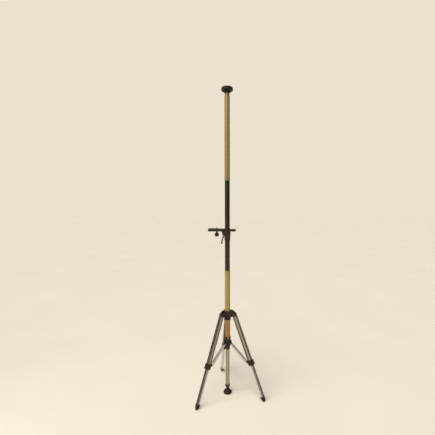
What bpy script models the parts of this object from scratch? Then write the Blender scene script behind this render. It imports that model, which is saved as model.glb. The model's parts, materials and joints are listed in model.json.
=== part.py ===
"""Laser support pole on a folding tripod: a telescopic pole with a sprung ceiling pad, a tripod with folding and
extending legs, and a clamp-on platform with the fixing screw for a laser level.

Metres, +Z up. The origin is on the pole's axis at floor level, and the platform's arm points along -X.
"""

import math

import bmesh
import bpy
from mathutils import Matrix, Vector

# ---------------------------------------------------------------- driving dimensions
GAP = 0.0003  # between pieces that rest on each other
RUN = 0.0004  # between pieces that slide or turn on each other

GOLD_R = 0.0200
GOLD_WALL = 0.0015
BLACK_R = 0.0190
BLACK_WALL = 0.0015
SILVER_R = 0.0155
SILVER_WALL = 0.0015
PLUNGER_R = 0.0181
PLUNGER_WALL = 0.0018

HUB_SHOULDER_Z = 0.4212  # where the lower gold tube stands in the brace hub
LOWER_JOINT_Z = 0.9245  # top of the lower gold tube
UPPER_JOINT_Z = 1.6080  # top of the black tube
UPPER_RING_H = 0.0234
GOLD_TOP_Z = 2.2510
SOCKET_Z = 2.2720  # lower end of the ceiling pad's socket
PAD_Z = 2.2930
PAD_TOP_Z = 2.3180
PAD_R = 0.0445

LEG_NAMES = ("back", "left", "right")
LEG_AZIMUTHS = (99.5, 219.5, 339.5)  # degrees from +X
FRONT_AZIMUTH = 279.5  # midway between the left and right legs
HINGE_R = 0.0550
HINGE_Z = 0.5990
FOOT_R = 0.2810
LEG_TILT = math.atan2(FOOT_R - HINGE_R, HINGE_Z)
LEG_LENGTH = math.hypot(FOOT_R - HINGE_R, HINGE_Z)

LEG_DEPTH = 0.0330  # upper leg, away from the pole
LEG_WIDTH = 0.0200  # upper leg, round the pole
LEG_WALL = 0.0018
LOWER_LEG_DEPTH = 0.0284
LOWER_LEG_WIDTH = 0.0156

BRACE_HUB_R = 0.0310
BRACE_HUB_Z = 0.3740
BRACE_LEG_X = -0.0310  # brace pivot on the leg, from the leg's own axis
BRACE_LEG_Z = -0.3500  # and below the leg's hinge
BRACE_WIDTH = 0.0200
BRACE_DEPTH = 0.0130
BRACE_WALL = 0.0015
FIN_THICKNESS = 0.0120
PIN_R = 0.0025

# The leg clamp and its flip lever, from the leg's hinge along the leg's own axes.
LEG_CLAMP_LOW = -0.3785
LEG_CLAMP_HIGH = -0.3395
LEG_CLAMP_HALF_DEPTH = 0.0190
LEG_CLAMP_HALF_WIDTH = 0.0130
LEVER_X = 0.0224
LEVER_Z = -0.3730
LEVER_HALF_WIDTH = 0.0090
LOCK_PIN_R = 0.0016

CLAMP_Z = 1.1580
CLAMP_TOP_Z = 1.2450
PLATFORM_Z = 1.2440  # top of the platform's plate
PLATFORM_LEFT = -0.1460
PLATFORM_HALF_WIDTH = 0.0240
STUD_X = -0.0800
LEVER_PIVOT = Vector((-0.0315, 0.0, 1.1990))
KNOB_AXIS_Z = 1.2320  # tension knob

ROUND = 24  # sides of a large round piece
SMALL_ROUND = 10  # sides of a pin or a screw


# ---------------------------------------------------------------- materials
def material(name, colour, roughness, metallic=0.0):
    made = bpy.data.materials.new(name)
    made.use_nodes = True
    shader = made.node_tree.nodes["Principled BSDF"]
    shader.inputs["Base Color"].default_value = (*colour, 1.0)
    shader.inputs["Roughness"].default_value = roughness
    shader.inputs["Metallic"].default_value = metallic
    made.diffuse_color = (*colour, 1.0)
    return made


# ---------------------------------------------------------------- shape helpers
def turned(profile, sides=ROUND):
    """A closed profile of (radius, height) points turned round Z. A point on the axis becomes one vertex."""
    mesh = bmesh.new()
    rings = []
    for radius, height in profile:
        if radius == 0.0:
            rings.append([mesh.verts.new((0.0, 0.0, height))])
            continue
        angles = [2 * math.pi * i / sides for i in range(sides)]
        rings.append([mesh.verts.new((radius * math.cos(a), radius * math.sin(a), height)) for a in angles])
    for ring, following in zip(rings, rings[1:] + rings[:1]):
        for i in range(sides):
            j = (i + 1) % sides
            corners = [ring[i % len(ring)], ring[j % len(ring)], following[j % len(following)]]
            corners.append(following[i % len(following)])
            distinct = list(dict.fromkeys(corners))
            if len(distinct) > 2:
                mesh.faces.new(distinct)
    bmesh.ops.recalc_face_normals(mesh, faces=mesh.faces)
    return mesh


def tube_profile(outer, wall, low, high):
    return [(outer, high), (outer, low), (outer - wall, low), (outer - wall, high)]


def rod_profile(radius, low, high, chamfer=0.0):
    """A solid round bar. A chamfer takes the edge off its upper end."""
    top = [(radius - chamfer, high), (radius, high - chamfer)] if chamfer else [(radius, high)]
    return [(0.0, high)] + top + [(radius, low), (0.0, low)]


def headed_profile(radius, length, head_radius, head_height):
    """A pin or screw along +Z from 0 to length, with its head below 0."""
    return [
        (0.0, length),
        (radius, length),
        (radius, 0.0),
        (head_radius, 0.0),
        (head_radius * 0.8, -head_height),
        (0.0, -head_height),
    ]


def prism(outline, low, high):
    """An outline of (x, y) points drawn up Z from low to high."""
    mesh = bmesh.new()
    base = [mesh.verts.new((x, y, low)) for x, y in outline]
    face = mesh.faces.new(base)
    drawn = bmesh.ops.extrude_face_region(mesh, geom=[face])
    top = [item for item in drawn["geom"] if isinstance(item, bmesh.types.BMVert)]
    bmesh.ops.translate(mesh, vec=(0.0, 0.0, high - low), verts=top)
    bmesh.ops.recalc_face_normals(mesh, faces=mesh.faces)
    return mesh


def side_prism(outline, half_width, middle=0.0):
    """An outline of (x, z) points drawn along Y to both sides of middle."""
    mesh = prism([(x, z) for x, z in outline], -half_width, half_width)
    turn = Matrix(((1, 0, 0, 0), (0, 0, -1, middle), (0, 1, 0, 0), (0, 0, 0, 1)))
    bmesh.ops.transform(mesh, matrix=turn, verts=mesh.verts)
    return mesh


def box(low, high):
    return prism([(low[0], low[1]), (high[0], low[1]), (high[0], high[1]), (low[0], high[1])], low[2], high[2])


def arc(centre, radius, start, end, steps):
    """Points on a circle from start to end, in degrees."""
    angles = [math.radians(start + (end - start) * i / steps) for i in range(steps + 1)]
    return [(centre[0] + radius * math.cos(a), centre[1] + radius * math.sin(a)) for a in angles]


def along(mesh, start, direction):
    """Moves a mesh drawn up Z so that it starts at a point and runs in a direction."""
    turn = Vector(direction).to_track_quat("Z", "Y").to_matrix().to_4x4()
    bmesh.ops.transform(mesh, matrix=Matrix.Translation(start) @ turn, verts=mesh.verts)
    return mesh


def place(name, mesh, look=None, parent=None, origin=(0.0, 0.0, 0.0)):
    """Makes the object. The mesh is in the parent's frame, and origin is the object's own origin there."""
    bmesh.ops.translate(mesh, vec=-Vector(origin), verts=mesh.verts)
    data = bpy.data.meshes.new(name)
    mesh.to_mesh(data)
    mesh.free()
    data.shade_smooth()
    data.set_sharp_from_angle(angle=math.radians(35))
    made = bpy.data.objects.new(name, data)
    made.location = origin
    made.parent = parent
    if look:
        data.materials.append(look)
    bpy.context.scene.collection.objects.link(made)
    return made


def combine(target, mesh, operation, parent=None):
    """Adds a Boolean with a hidden helper to the target."""
    helper = place(f"{target.name}_helper", mesh, parent=parent)
    helper.hide_render = True
    helper.display_type = "WIRE"
    modifier = target.modifiers.new(operation.title(), "BOOLEAN")
    modifier.operation = operation
    modifier.object = helper
    return helper


def cut(target, mesh, parent=None):
    return combine(target, mesh, "DIFFERENCE", parent)


def join(target, mesh, parent=None):
    return combine(target, mesh, "UNION", parent)


def frame(name, location, rotation, parent=None):
    empty = bpy.data.objects.new(name, None)
    empty.location = location
    empty.rotation_euler = rotation
    empty.parent = parent
    bpy.context.scene.collection.objects.link(empty)
    return empty


# ---------------------------------------------------------------- pole
def pole_tubes(looks):
    gold_low = tube_profile(GOLD_R, GOLD_WALL, HUB_SHOULDER_Z + GAP, LOWER_JOINT_Z)
    place("lower_gold_tube", turned(gold_low), looks["gold"])
    black = tube_profile(BLACK_R, BLACK_WALL, LOWER_JOINT_Z + 0.0025, UPPER_JOINT_Z)
    place("black_tube", turned(black), looks["black"])
    gold_high = tube_profile(GOLD_R, GOLD_WALL, UPPER_JOINT_Z + UPPER_RING_H + 2 * GAP, GOLD_TOP_Z)
    upper = place("upper_gold_tube", turned(gold_high), looks["gold"])
    hole = turned(rod_profile(0.0023, 0.0, 0.010), SMALL_ROUND)
    cut(upper, along(hole, (0.0, 0.014, 2.200), (0, 1, 0)))


def coupler(name, look, low_r, high_r, ring_r, ring_low, ring_high, grip):
    """A stepped spigot inside the ends of two tubes, with a ring between them."""
    bore = 0.0145
    profile = [
        (high_r, ring_high + grip),
        (high_r, ring_high),
        (ring_r, ring_high),
        (ring_r, ring_low),
        (low_r, ring_low),
        (low_r, ring_low - grip),
        (bore, ring_low - grip),
        (bore, ring_high + grip),
    ]
    place(name, turned(profile), look)


def pole_couplers(looks):
    gold_fit = GOLD_R - GOLD_WALL - GAP
    black_fit = BLACK_R - BLACK_WALL - GAP
    low_ring = LOWER_JOINT_Z + GAP
    coupler("lower_coupler", looks["silver"], gold_fit, black_fit, GOLD_R, low_ring, low_ring + 0.0019, 0.060)
    top_ring = UPPER_JOINT_Z + GAP
    coupler(
        "upper_coupler", looks["silver"], black_fit, gold_fit, 0.0206, top_ring, top_ring + UPPER_RING_H, 0.063
    )


def spring(low, high):
    """A closed wire helix round the pole's axis."""
    coil_r, wire_r, turns, steps, sides = 0.0168, 0.0012, 8, 12, 5
    mesh = bmesh.new()
    rings = []
    for i in range(turns * steps + 1):
        share = i / (turns * steps)
        angle = 2 * math.pi * turns * share
        centre = Vector((coil_r * math.cos(angle), coil_r * math.sin(angle), low + (high - low) * share))
        outward = Vector((math.cos(angle), math.sin(angle), 0.0))
        ring = []
        for k in range(sides):
            turn = 2 * math.pi * k / sides
            offset = outward * math.cos(turn) + Vector((0, 0, 1)) * math.sin(turn)
            ring.append(mesh.verts.new(centre + wire_r * offset))
        rings.append(ring)
    for ring, following in zip(rings, rings[1:]):
        for k in range(sides):
            mesh.faces.new([ring[k], ring[(k + 1) % sides], following[(k + 1) % sides], following[k]])
    mesh.faces.new(rings[0])
    mesh.faces.new(rings[-1])
    bmesh.ops.recalc_face_normals(mesh, faces=mesh.faces)
    return mesh


def ceiling_head(looks):
    plunger_low = 2.1000
    plunger = tube_profile(PLUNGER_R, PLUNGER_WALL, plunger_low, 2.2846)
    tube = place("plunger_tube", turned(plunger), looks["silver"])
    # The screw stays in this slot, so the plunger travels but can't drop out or turn.
    cut(tube, box((-0.0024, 0.012, 2.1977), (0.0024, 0.020, 2.2190)))
    socket = [
        (0.0195, SOCKET_Z + 0.001),
        (0.0188, SOCKET_Z),
        (PLUNGER_R + GAP, SOCKET_Z),
        (PLUNGER_R + GAP, 2.2850),
        (0.0, 2.2850),
        (0.0, PAD_Z + 0.0020),
        (0.0300, PAD_Z + 0.0020),
        (0.0300, PAD_Z),
        (0.0210, PAD_Z - 0.0015),
        (0.0195, PAD_Z - 0.0040),
    ]
    place("pad_socket", turned(socket), looks["plastic"])
    pad = [
        (0.0, PAD_TOP_Z),
        (0.0365, PAD_TOP_Z),
        (0.0420, PAD_TOP_Z - 0.0022),
        (PAD_R, PAD_TOP_Z - 0.0070),
        (PAD_R, PAD_Z + 0.0030),
        (0.0430, PAD_Z),
        (0.0303, PAD_Z),
        (0.0303, PAD_Z + 0.0023),
        (0.0, PAD_Z + 0.0023),
    ]
    place("ceiling_pad", turned(pad), looks["rubber"])
    seat_top = 2.0200
    seat = tube_profile(GOLD_R - GOLD_WALL - GAP, 0.0120, seat_top - 0.008, seat_top)
    place("spring_seat", turned(seat), looks["plastic"])
    place("plunger_spring", spring(seat_top + 0.0016, plunger_low - 0.0016), looks["steel"])
    screw = turned(headed_profile(0.0019, 0.0048, 0.0036, 0.0018), SMALL_ROUND)
    place("retaining_screw", along(screw, (0.0, GOLD_R + GAP, 2.200), (0, -1, 0)), looks["steel"])


def lower_tube(looks):
    tube_low, tube_high = 0.0555, 0.5600
    silver = tube_profile(SILVER_R, SILVER_WALL, tube_low, tube_high)
    place("lower_tube", turned(silver), looks["silver"])
    spigot_r = SILVER_R - SILVER_WALL - GAP
    guide = [
        (GOLD_R - GOLD_WALL - RUN, tube_high + 0.013),
        (GOLD_R - GOLD_WALL - RUN, tube_high + GAP),
        (spigot_r, tube_high + GAP),
        (spigot_r, tube_high - 0.030),
        (0.0080, tube_high - 0.030),
        (0.0080, tube_high + 0.013),
    ]
    place("lower_tube_guide", turned(guide), looks["plastic"])


def pole_foot(looks):
    socket = [
        (0.0182, 0.0660),
        (0.0182, 0.0520),
        (0.0105, 0.0400),
        (0.0105, 0.0313),
        (0.0, 0.0313),
        (0.0, 0.0552),
        (SILVER_R + GAP, 0.0552),
        (SILVER_R + GAP, 0.0660),
    ]
    made = place("foot_socket", turned(socket), looks["plastic"])
    for azimuth in LEG_AZIMUTHS:
        notch = side_prism([(0.0, 0.0565), (-0.0065, 0.0700), (0.0065, 0.0700)], 0.012)
        turn = Matrix.Rotation(math.radians(azimuth + 90), 4, "Z") @ Matrix.Translation((0.0, -0.018, 0.0))
        turn = Matrix.Rotation(math.radians(180), 4, "Z") @ turn
        bmesh.ops.transform(notch, matrix=turn, verts=notch.verts)
        cut(made, notch)
    foot = [
        (0.0108, 0.0310),
        (0.0135, 0.0295),
        (0.0210, 0.0190),
        (0.0285, 0.0115),
        (0.0310, 0.0082),
        (0.0310, 0.0030),
        (0.0295, 0.0),
        (0.0, 0.0),
        (0.0, 0.0310),
    ]
    place("pole_foot", turned(foot), looks["rubber"])


# ---------------------------------------------------------------- brace hub
def brace_hub(looks):
    crown_top = 0.4270
    ring = [
        (0.0245, crown_top),
        (0.0245, 0.3890),
        (0.0220, 0.3860),
        (0.0183, 0.3860),
        (0.0183, HUB_SHOULDER_Z),
        (GOLD_R + GAP, HUB_SHOULDER_Z),
        (GOLD_R + GAP, crown_top),
    ]
    hub = place("brace_hub", turned(ring), looks["plastic"])
    pivot = (BRACE_HUB_R, BRACE_HUB_Z)
    outline = [(0.0195, 0.4080), (0.0290, 0.4000)]
    outline += arc(pivot, 0.0065, 60, -120, 8)
    outline += [(0.0235, 0.3620), (0.0205, 0.3700), (0.0205, 0.3880), (0.0195, 0.3880)]
    for azimuth in LEG_AZIMUTHS:
        turn = Matrix.Rotation(math.radians(azimuth), 4, "Z")
        fin = side_prism(outline, FIN_THICKNESS / 2)
        bmesh.ops.transform(fin, matrix=turn, verts=fin.verts)
        join(hub, fin)
    for name, azimuth in zip(LEG_NAMES, LEG_AZIMUTHS):
        holder = frame(f"hub_frame_{name}", (0, 0, 0), (0, 0, math.radians(azimuth)))
        hole = turned(rod_profile(PIN_R + GAP, -0.02, 0.02), SMALL_ROUND)
        cut(hub, along(hole, (BRACE_HUB_R, 0, BRACE_HUB_Z), (0, 1, 0)), holder)
        notch = box((-0.040, -0.0070, 0.4120), (-0.010, 0.0070, 0.4500))
        cut(hub, notch, holder)
        half = BRACE_WIDTH / 2 + GAP
        profile = headed_profile(PIN_R, 2 * half, 0.0042, 0.0014)
        pin = along(turned(profile, SMALL_ROUND), (BRACE_HUB_R, -half, BRACE_HUB_Z), (0, 1, 0))
        place(f"hub_pin_{name}", pin, looks["steel"], holder)
    collet = tube_profile(0.0180, 0.0180 - SILVER_R - RUN, 0.3920, 0.4180)
    grip = place("tube_collet", turned(collet), looks["nylon"])
    cut(grip, box((-0.0015, -0.0200, 0.3800), (0.0015, -0.0100, 0.4300)))
    lock = [
        (0.0190, 0.3856),
        (0.0190, 0.3400),
        (0.0180, 0.3345),
        (SILVER_R + RUN, 0.3330),
        (SILVER_R + RUN, 0.3856),
    ]
    place("lock_ring", turned(lock), looks["plastic"])


# ---------------------------------------------------------------- tripod collar
def tripod_collar(looks):
    bore = 0.0221
    top, bottom = 0.6218, 0.5560
    barrel = [
        (0.0292, top - 0.0010),
        (0.0292, 0.5860),
        (0.0268, 0.5800),
        (0.0260, bottom),
        (0.0, bottom),
        (0.0, top),
        (0.0282, top),
    ]
    collar = place("tripod_collar", turned(barrel), looks["plastic"])
    hinge = (HINGE_R, HINGE_Z)
    cheek = [(0.0180, 0.5750), (0.0420, 0.5835)]
    cheek += arc(hinge, 0.0135, -75, 75, 10)
    cheek += [(0.0480, 0.6210), (0.0340, 0.6275), (0.0180, 0.6275)]
    web = [(0.0165, 0.5730), (0.0300, 0.5770), (0.0345, 0.5900), (0.0345, 0.6120), (0.0300, 0.6190)]
    web += [(0.0165, 0.6190)]
    inside = LEG_WIDTH / 2 + RUN
    for azimuth in LEG_AZIMUTHS:
        turn = Matrix.Rotation(math.radians(azimuth), 4, "Z")
        shapes = [side_prism(web, inside + 0.001)]
        shapes += [side_prism(cheek, 0.0020, side * (inside + 0.0020)) for side in (-1, 1)]
        for shape in shapes:
            bmesh.ops.transform(shape, matrix=turn, verts=shape.verts)
            join(collar, shape)
    cut(collar, turned(rod_profile(bore, 0.50, 0.70)))
    for name, azimuth in zip(LEG_NAMES, LEG_AZIMUTHS):
        holder = frame(f"collar_frame_{name}", (0, 0, 0), (0, 0, math.radians(azimuth)))
        hole = turned(rod_profile(PIN_R + GAP, -0.03, 0.03), SMALL_ROUND)
        cut(collar, along(hole, (HINGE_R, 0, HINGE_Z), (0, 1, 0)), holder)
        half = inside + 0.0040 + GAP
        profile = headed_profile(PIN_R, 2 * half, 0.0045, 0.0018)
        pin = along(turned(profile, SMALL_ROUND), (HINGE_R, -half, HINGE_Z), (0, 1, 0))
        place(f"leg_pin_{name}", pin, looks["steel"], holder)
    front = frame("collar_front", (0, 0, 0), (0, 0, math.radians(FRONT_AZIMUTH)))
    cut(collar, box((0.0150, -0.0010, 0.5400), (0.0400, 0.0010, 0.6400)), front)
    screw_r, head_r, line, head_y = 0.0018, 0.0027, 0.0256, -0.0080
    shank_room = turned(rod_profile(screw_r + RUN, -0.03, 0.03), SMALL_ROUND)
    cut(collar, along(shank_room, (line, 0, 0.600), (0, 1, 0)), front)
    head_room = turned(rod_profile(head_r + 0.0005, 0.0, 0.02), SMALL_ROUND)
    cut(collar, along(head_room, (line, head_y, 0.600), (0, -1, 0)), front)
    screw = turned(headed_profile(screw_r, 0.0200, head_r, 0.0030), SMALL_ROUND)
    place("pinch_screw", along(screw, (line, head_y - GAP, 0.600), (0, 1, 0)), looks["steel"], front)
    sleeve, fit = bore - GAP, GOLD_R + GAP
    bush = [
        (sleeve, top + 0.0026),
        (sleeve, bottom - GAP),
        (0.0235, bottom - GAP),
        (0.0230, bottom - 0.0025),
        (fit, bottom - 0.0025),
        (fit, top + 0.0026),
    ]
    made = place("collar_bush", turned(bush), looks["nylon"])
    cut(made, box((0.0150, -0.0010, 0.5400), (0.0400, 0.0010, 0.6400)), front)


# ---------------------------------------------------------------- legs
def channel(depth, width, wall, lip):
    """The outline of a channel that opens towards -X, with lips along the opening."""
    half_depth, half_width = depth / 2, width / 2
    return [
        (-half_depth, -half_width),
        (half_depth, -half_width),
        (half_depth, half_width),
        (-half_depth, half_width),
        (-half_depth, half_width - wall - lip),
        (-half_depth + wall, half_width - wall - lip),
        (-half_depth + wall, half_width - wall),
        (half_depth - wall, half_width - wall),
        (half_depth - wall, -half_width + wall),
        (-half_depth + wall, -half_width + wall),
        (-half_depth + wall, -half_width + wall + lip),
        (-half_depth, -half_width + wall + lip),
    ]


def upper_leg(name, looks, leg):
    outline = channel(LEG_DEPTH, LEG_WIDTH, LEG_WALL, 0.0022)
    made = place(f"upper_leg_{name}", prism(outline, -0.3720, 0.0090), looks["silver"], leg)
    hole = turned(rod_profile(PIN_R + GAP, -0.02, 0.02), SMALL_ROUND)
    cut(made, along(hole, (0, 0, 0), (0, 1, 0)), leg)


def leg_clamp(name, looks, leg):
    """The black block at the end of the upper leg: it grips the lower leg and carries the brace's pivot."""
    corner = Vector((LEG_CLAMP_HALF_DEPTH, LEG_CLAMP_HALF_WIDTH, LEG_CLAMP_HIGH))
    body = box((-corner.x, -corner.y, LEG_CLAMP_LOW), corner)
    bmesh.ops.bevel(body, geom=body.edges[:], offset=0.002, segments=1, affect="EDGES")
    made = place(f"leg_clamp_{name}", body, looks["plastic"], leg)
    pivot = (BRACE_LEG_X, BRACE_LEG_Z)
    arm = [(-0.0170, -0.3430)] + arc(pivot, 0.0062, 100, 260, 8) + [(-0.0170, -0.3660)]
    join(made, side_prism(arm, FIN_THICKNESS / 2), leg)
    boss = turned(rod_profile(0.0030, -0.0078, 0.0078), SMALL_ROUND)
    join(made, along(boss, (BRACE_LEG_X, 0, BRACE_LEG_Z), (0, 1, 0)), leg)
    ear = [(0.0170, -0.3670), (LEVER_X, -0.3692)] + arc((LEVER_X, LEVER_Z), 0.0036, 80, -80, 6)
    ear += [(0.0170, -0.3775)]
    ear_middle = LEVER_HALF_WIDTH + RUN + 0.0018
    for side in (-1, 1):
        join(made, side_prism(ear, 0.0018, side * ear_middle), leg)
    half_depth, half_width = LEG_DEPTH / 2 + GAP, LEG_WIDTH / 2 + GAP
    cut(made, box((-half_depth, -half_width, -0.3723), (half_depth, half_width, -0.3000)), leg)
    half_depth, half_width = LOWER_LEG_DEPTH / 2 + RUN, LOWER_LEG_WIDTH / 2 + RUN
    cut(made, box((-half_depth, -half_width, -0.4100), (half_depth, half_width, -0.3600)), leg)
    hole = turned(rod_profile(LOCK_PIN_R + GAP, -0.02, 0.02), SMALL_ROUND)
    cut(made, along(hole, (LEVER_X, 0, LEVER_Z), (0, 1, 0)), leg)
    half = ear_middle + 0.0018
    pin = along(turned(rod_profile(LOCK_PIN_R, -half, half), SMALL_ROUND), (LEVER_X, 0, LEVER_Z), (0, 1, 0))
    place(f"lock_pin_{name}", pin, looks["steel"], leg)


def lock_lever(name, looks, leg):
    """The flip lever lies up the clamp's outer face, with a thumb tab at its top."""
    face = LEG_CLAMP_HALF_DEPTH + 2 * GAP
    outline = arc((LEVER_X, LEVER_Z), 0.0028, -170, -10, 8)
    outline += [(0.0240, -0.3510), (0.0264, -0.3450), (0.0254, -0.3425), (face, -0.3440)]
    made = place(f"lock_lever_{name}", side_prism(outline, LEVER_HALF_WIDTH), looks["plastic"], leg)
    hole = turned(rod_profile(LOCK_PIN_R + GAP, -0.02, 0.02), SMALL_ROUND)
    cut(made, along(hole, (LEVER_X, 0, LEVER_Z), (0, 1, 0)), leg)


def lower_leg(name, looks, leg):
    """The lower leg's channel opens away from the pole."""
    half_depth, half_width, wall = LOWER_LEG_DEPTH / 2, LOWER_LEG_WIDTH / 2, 0.0014
    outline = [(-x, y) for x, y in channel(LOWER_LEG_DEPTH, LOWER_LEG_WIDTH, wall, 0.0025)]
    place(f"lower_leg_{name}", prism(outline, -0.6120, -0.3000), looks["silver"], leg)
    # The boot: a sleeve round the leg's end that narrows to a flat sole on the floor.
    sole_turn = Matrix.Rotation(LEG_TILT, 4, "Y")
    mesh = bmesh.new()
    depth, width, corner = half_depth + 0.0022, half_width + 0.0020, 0.0016
    for z in (-0.5995, -0.6160):
        for x, y in ((depth - corner, width), (depth, width - corner)):
            for side_x, side_y in ((1, 1), (1, -1), (-1, 1), (-1, -1)):
                mesh.verts.new((side_x * x, side_y * y, z))
    for x, y in arc((0.0, 0.0), 0.0085, 0, 330, 11):
        mesh.verts.new(sole_turn @ Vector((x, y, 0.0)) + Vector((0.0, 0.0, -LEG_LENGTH)))
    bmesh.ops.convex_hull(mesh, input=mesh.verts)
    bmesh.ops.recalc_face_normals(mesh, faces=mesh.faces)
    boot = place(f"leg_foot_{name}", mesh, looks["rubber"], leg)
    pocket = box((-half_depth - GAP, -half_width - GAP, -0.6123), (half_depth + GAP, half_width + GAP, -0.5500))
    cut(boot, pocket, leg)


def brace(name, looks, azimuth):
    """A channel from the hub to the leg clamp, open downwards."""
    tilt_cos, tilt_sin = math.cos(LEG_TILT), math.sin(LEG_TILT)
    end_r = HINGE_R + BRACE_LEG_X * tilt_cos - BRACE_LEG_Z * tilt_sin
    end_z = HINGE_Z + BRACE_LEG_X * tilt_sin + BRACE_LEG_Z * tilt_cos
    length = math.hypot(end_r - BRACE_HUB_R, end_z - BRACE_HUB_Z)
    drop = math.atan2(BRACE_HUB_Z - end_z, end_r - BRACE_HUB_R)
    column = frame(f"brace_column_{name}", (0, 0, 0), (0, 0, math.radians(azimuth)))
    holder = frame(f"brace_frame_{name}", (BRACE_HUB_R, 0, BRACE_HUB_Z), (0, drop, 0), column)
    half_depth, half_width, inner = BRACE_DEPTH / 2, BRACE_WIDTH / 2, BRACE_WIDTH / 2 - BRACE_WALL
    end_r, taper = 0.0052, 0.0240
    side = arc((0.0, 0.0), end_r, 95, 265, 8) + [(taper, -half_depth), (length - taper, -half_depth)]
    side += arc((length, 0.0), end_r, -85, 85, 8) + [(length - taper, half_depth), (taper, half_depth)]
    made = place(f"brace_{name}", side_prism(side, half_width), looks["silver"], holder)
    cut(made, box((-0.05, -inner, -0.02), (length + 0.05, inner, half_depth - BRACE_WALL)), holder)
    # The top is cut back at both ends, where the hub's fin and the leg clamp's arm come in.
    cut(made, box((-0.05, -inner, -0.001), (0.0130, inner, 0.02)), holder)
    cut(made, box((length - 0.0230, -inner, -0.001), (length + 0.05, inner, 0.02)), holder)
    hole = turned(rod_profile(PIN_R + GAP, -0.02, 0.02), SMALL_ROUND)
    cut(made, along(hole, (0, 0, 0), (0, 1, 0)), holder)
    for side_y in (-1, 1):
        rivet = turned(rod_profile(0.0040, 0.0, 0.0022), SMALL_ROUND)
        start = (length, side_y * (half_width - 0.0008), 0.0)
        join(made, along(rivet, start, (0, side_y, 0)), holder)


def legs(looks):
    for name, azimuth in zip(LEG_NAMES, LEG_AZIMUTHS):
        turn = math.radians(azimuth)
        hinge = (HINGE_R * math.cos(turn), HINGE_R * math.sin(turn), HINGE_Z)
        leg = frame(f"leg_frame_{name}", hinge, (0, -LEG_TILT, turn))
        upper_leg(name, looks, leg)
        leg_clamp(name, looks, leg)
        lock_lever(name, looks, leg)
        lower_leg(name, looks, leg)
        brace(name, looks, azimuth)


# ---------------------------------------------------------------- laser platform
LINER_R = 0.0206
CLAMP_BORE = LINER_R + GAP


def clamp_body(looks):
    barrel = [
        (0.0254, CLAMP_TOP_Z - 0.001),
        (0.0254, 1.2200),
        (0.0242, 1.1900),
        (0.0227, CLAMP_Z),
        (0.0, CLAMP_Z),
        (0.0, CLAMP_TOP_Z),
        (0.0244, CLAMP_TOP_Z),
    ]
    body = place("clamp_body", turned(barrel), looks["plastic"])
    pivot = (LEVER_PIVOT.x, LEVER_PIVOT.z)
    gusset = [(-0.0120, 1.2386), (-0.0620, 1.2386), (-0.0620, 1.2270)]
    gusset += arc((-0.0600, 1.2050), 0.0220, 85, 0, 6)
    gusset += arc(pivot, 0.0065, 175, 310, 6) + [(-0.0120, 1.1900)]
    for side in (-1, 1):
        join(body, side_prism(gusset, 0.0018, side * 0.0104))
    join(body, box((-0.0610, -0.0110, 1.2290), (-0.0150, 0.0110, 1.2386)))
    boss = turned(rod_profile(0.0080, 0.0180, 0.0302))
    join(body, along(boss, (0, 0, KNOB_AXIS_Z), (1, 0, 0)))
    cut(body, turned(rod_profile(CLAMP_BORE, 1.10, 1.30)))
    screw_hole = turned(rod_profile(0.0033, 0.010, 0.040), SMALL_ROUND)
    cut(body, along(screw_hole, (0, 0, KNOB_AXIS_Z), (1, 0, 0)))
    pin_hole = turned(rod_profile(0.0020 + GAP, -0.02, 0.02), SMALL_ROUND)
    cut(body, along(pin_hole, LEVER_PIVOT, (0, 1, 0)))
    pin = turned(rod_profile(0.0020, -0.0124, 0.0124), SMALL_ROUND)
    place("lever_pin", along(pin, LEVER_PIVOT, (0, 1, 0)), looks["steel"])
    liner = tube_profile(LINER_R, LINER_R - BLACK_R - RUN, CLAMP_Z + 0.002, CLAMP_TOP_Z - 0.002)
    sleeve = place("clamp_liner", turned(liner), looks["nylon"])
    cut(sleeve, box((-0.0010, 0.010, 1.10), (0.0010, 0.030, 1.30)))


def platform(looks):
    """An inverted tray with a slot along its middle for the laser's fixing screw."""
    right, skirt_z, plate, wall = -0.0262, 1.2250, 0.0050, 0.0030
    low = (PLATFORM_LEFT, -PLATFORM_HALF_WIDTH, skirt_z)
    body = box(low, (right, PLATFORM_HALF_WIDTH, PLATFORM_Z))
    upright = [edge for edge in body.edges if abs(edge.verts[0].co.z - edge.verts[1].co.z) > 0.001]
    bmesh.ops.bevel(body, geom=upright, offset=0.005, segments=3, affect="EDGES")
    top = [edge for edge in body.edges if min(vert.co.z for vert in edge.verts) > PLATFORM_Z - 0.0001]
    bmesh.ops.bevel(body, geom=top, offset=0.0012, segments=1, affect="EDGES")
    made = place("platform", body, looks["painted"])
    inner = PLATFORM_HALF_WIDTH - wall
    cut(made, box((PLATFORM_LEFT + wall, -inner, 1.20), (0.0, inner, PLATFORM_Z - plate)))
    slot_half = 0.0036
    slot = arc((STUD_X - 0.0450, 0), slot_half, 90, 270, 6) + arc((STUD_X + 0.0050, 0), slot_half, -90, 90, 6)
    cut(made, prism(slot, 1.20, 1.26))
    mat = [(-0.1400, -0.0200), (-0.0680, -0.0200), (-0.0680, 0.0200), (-0.1400, 0.0200)]
    pad = place("platform_mat", prism(mat, PLATFORM_Z + GAP, PLATFORM_Z + 0.0018), looks["rubber"])
    cut(pad, prism(slot, 1.20, 1.26))


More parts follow.
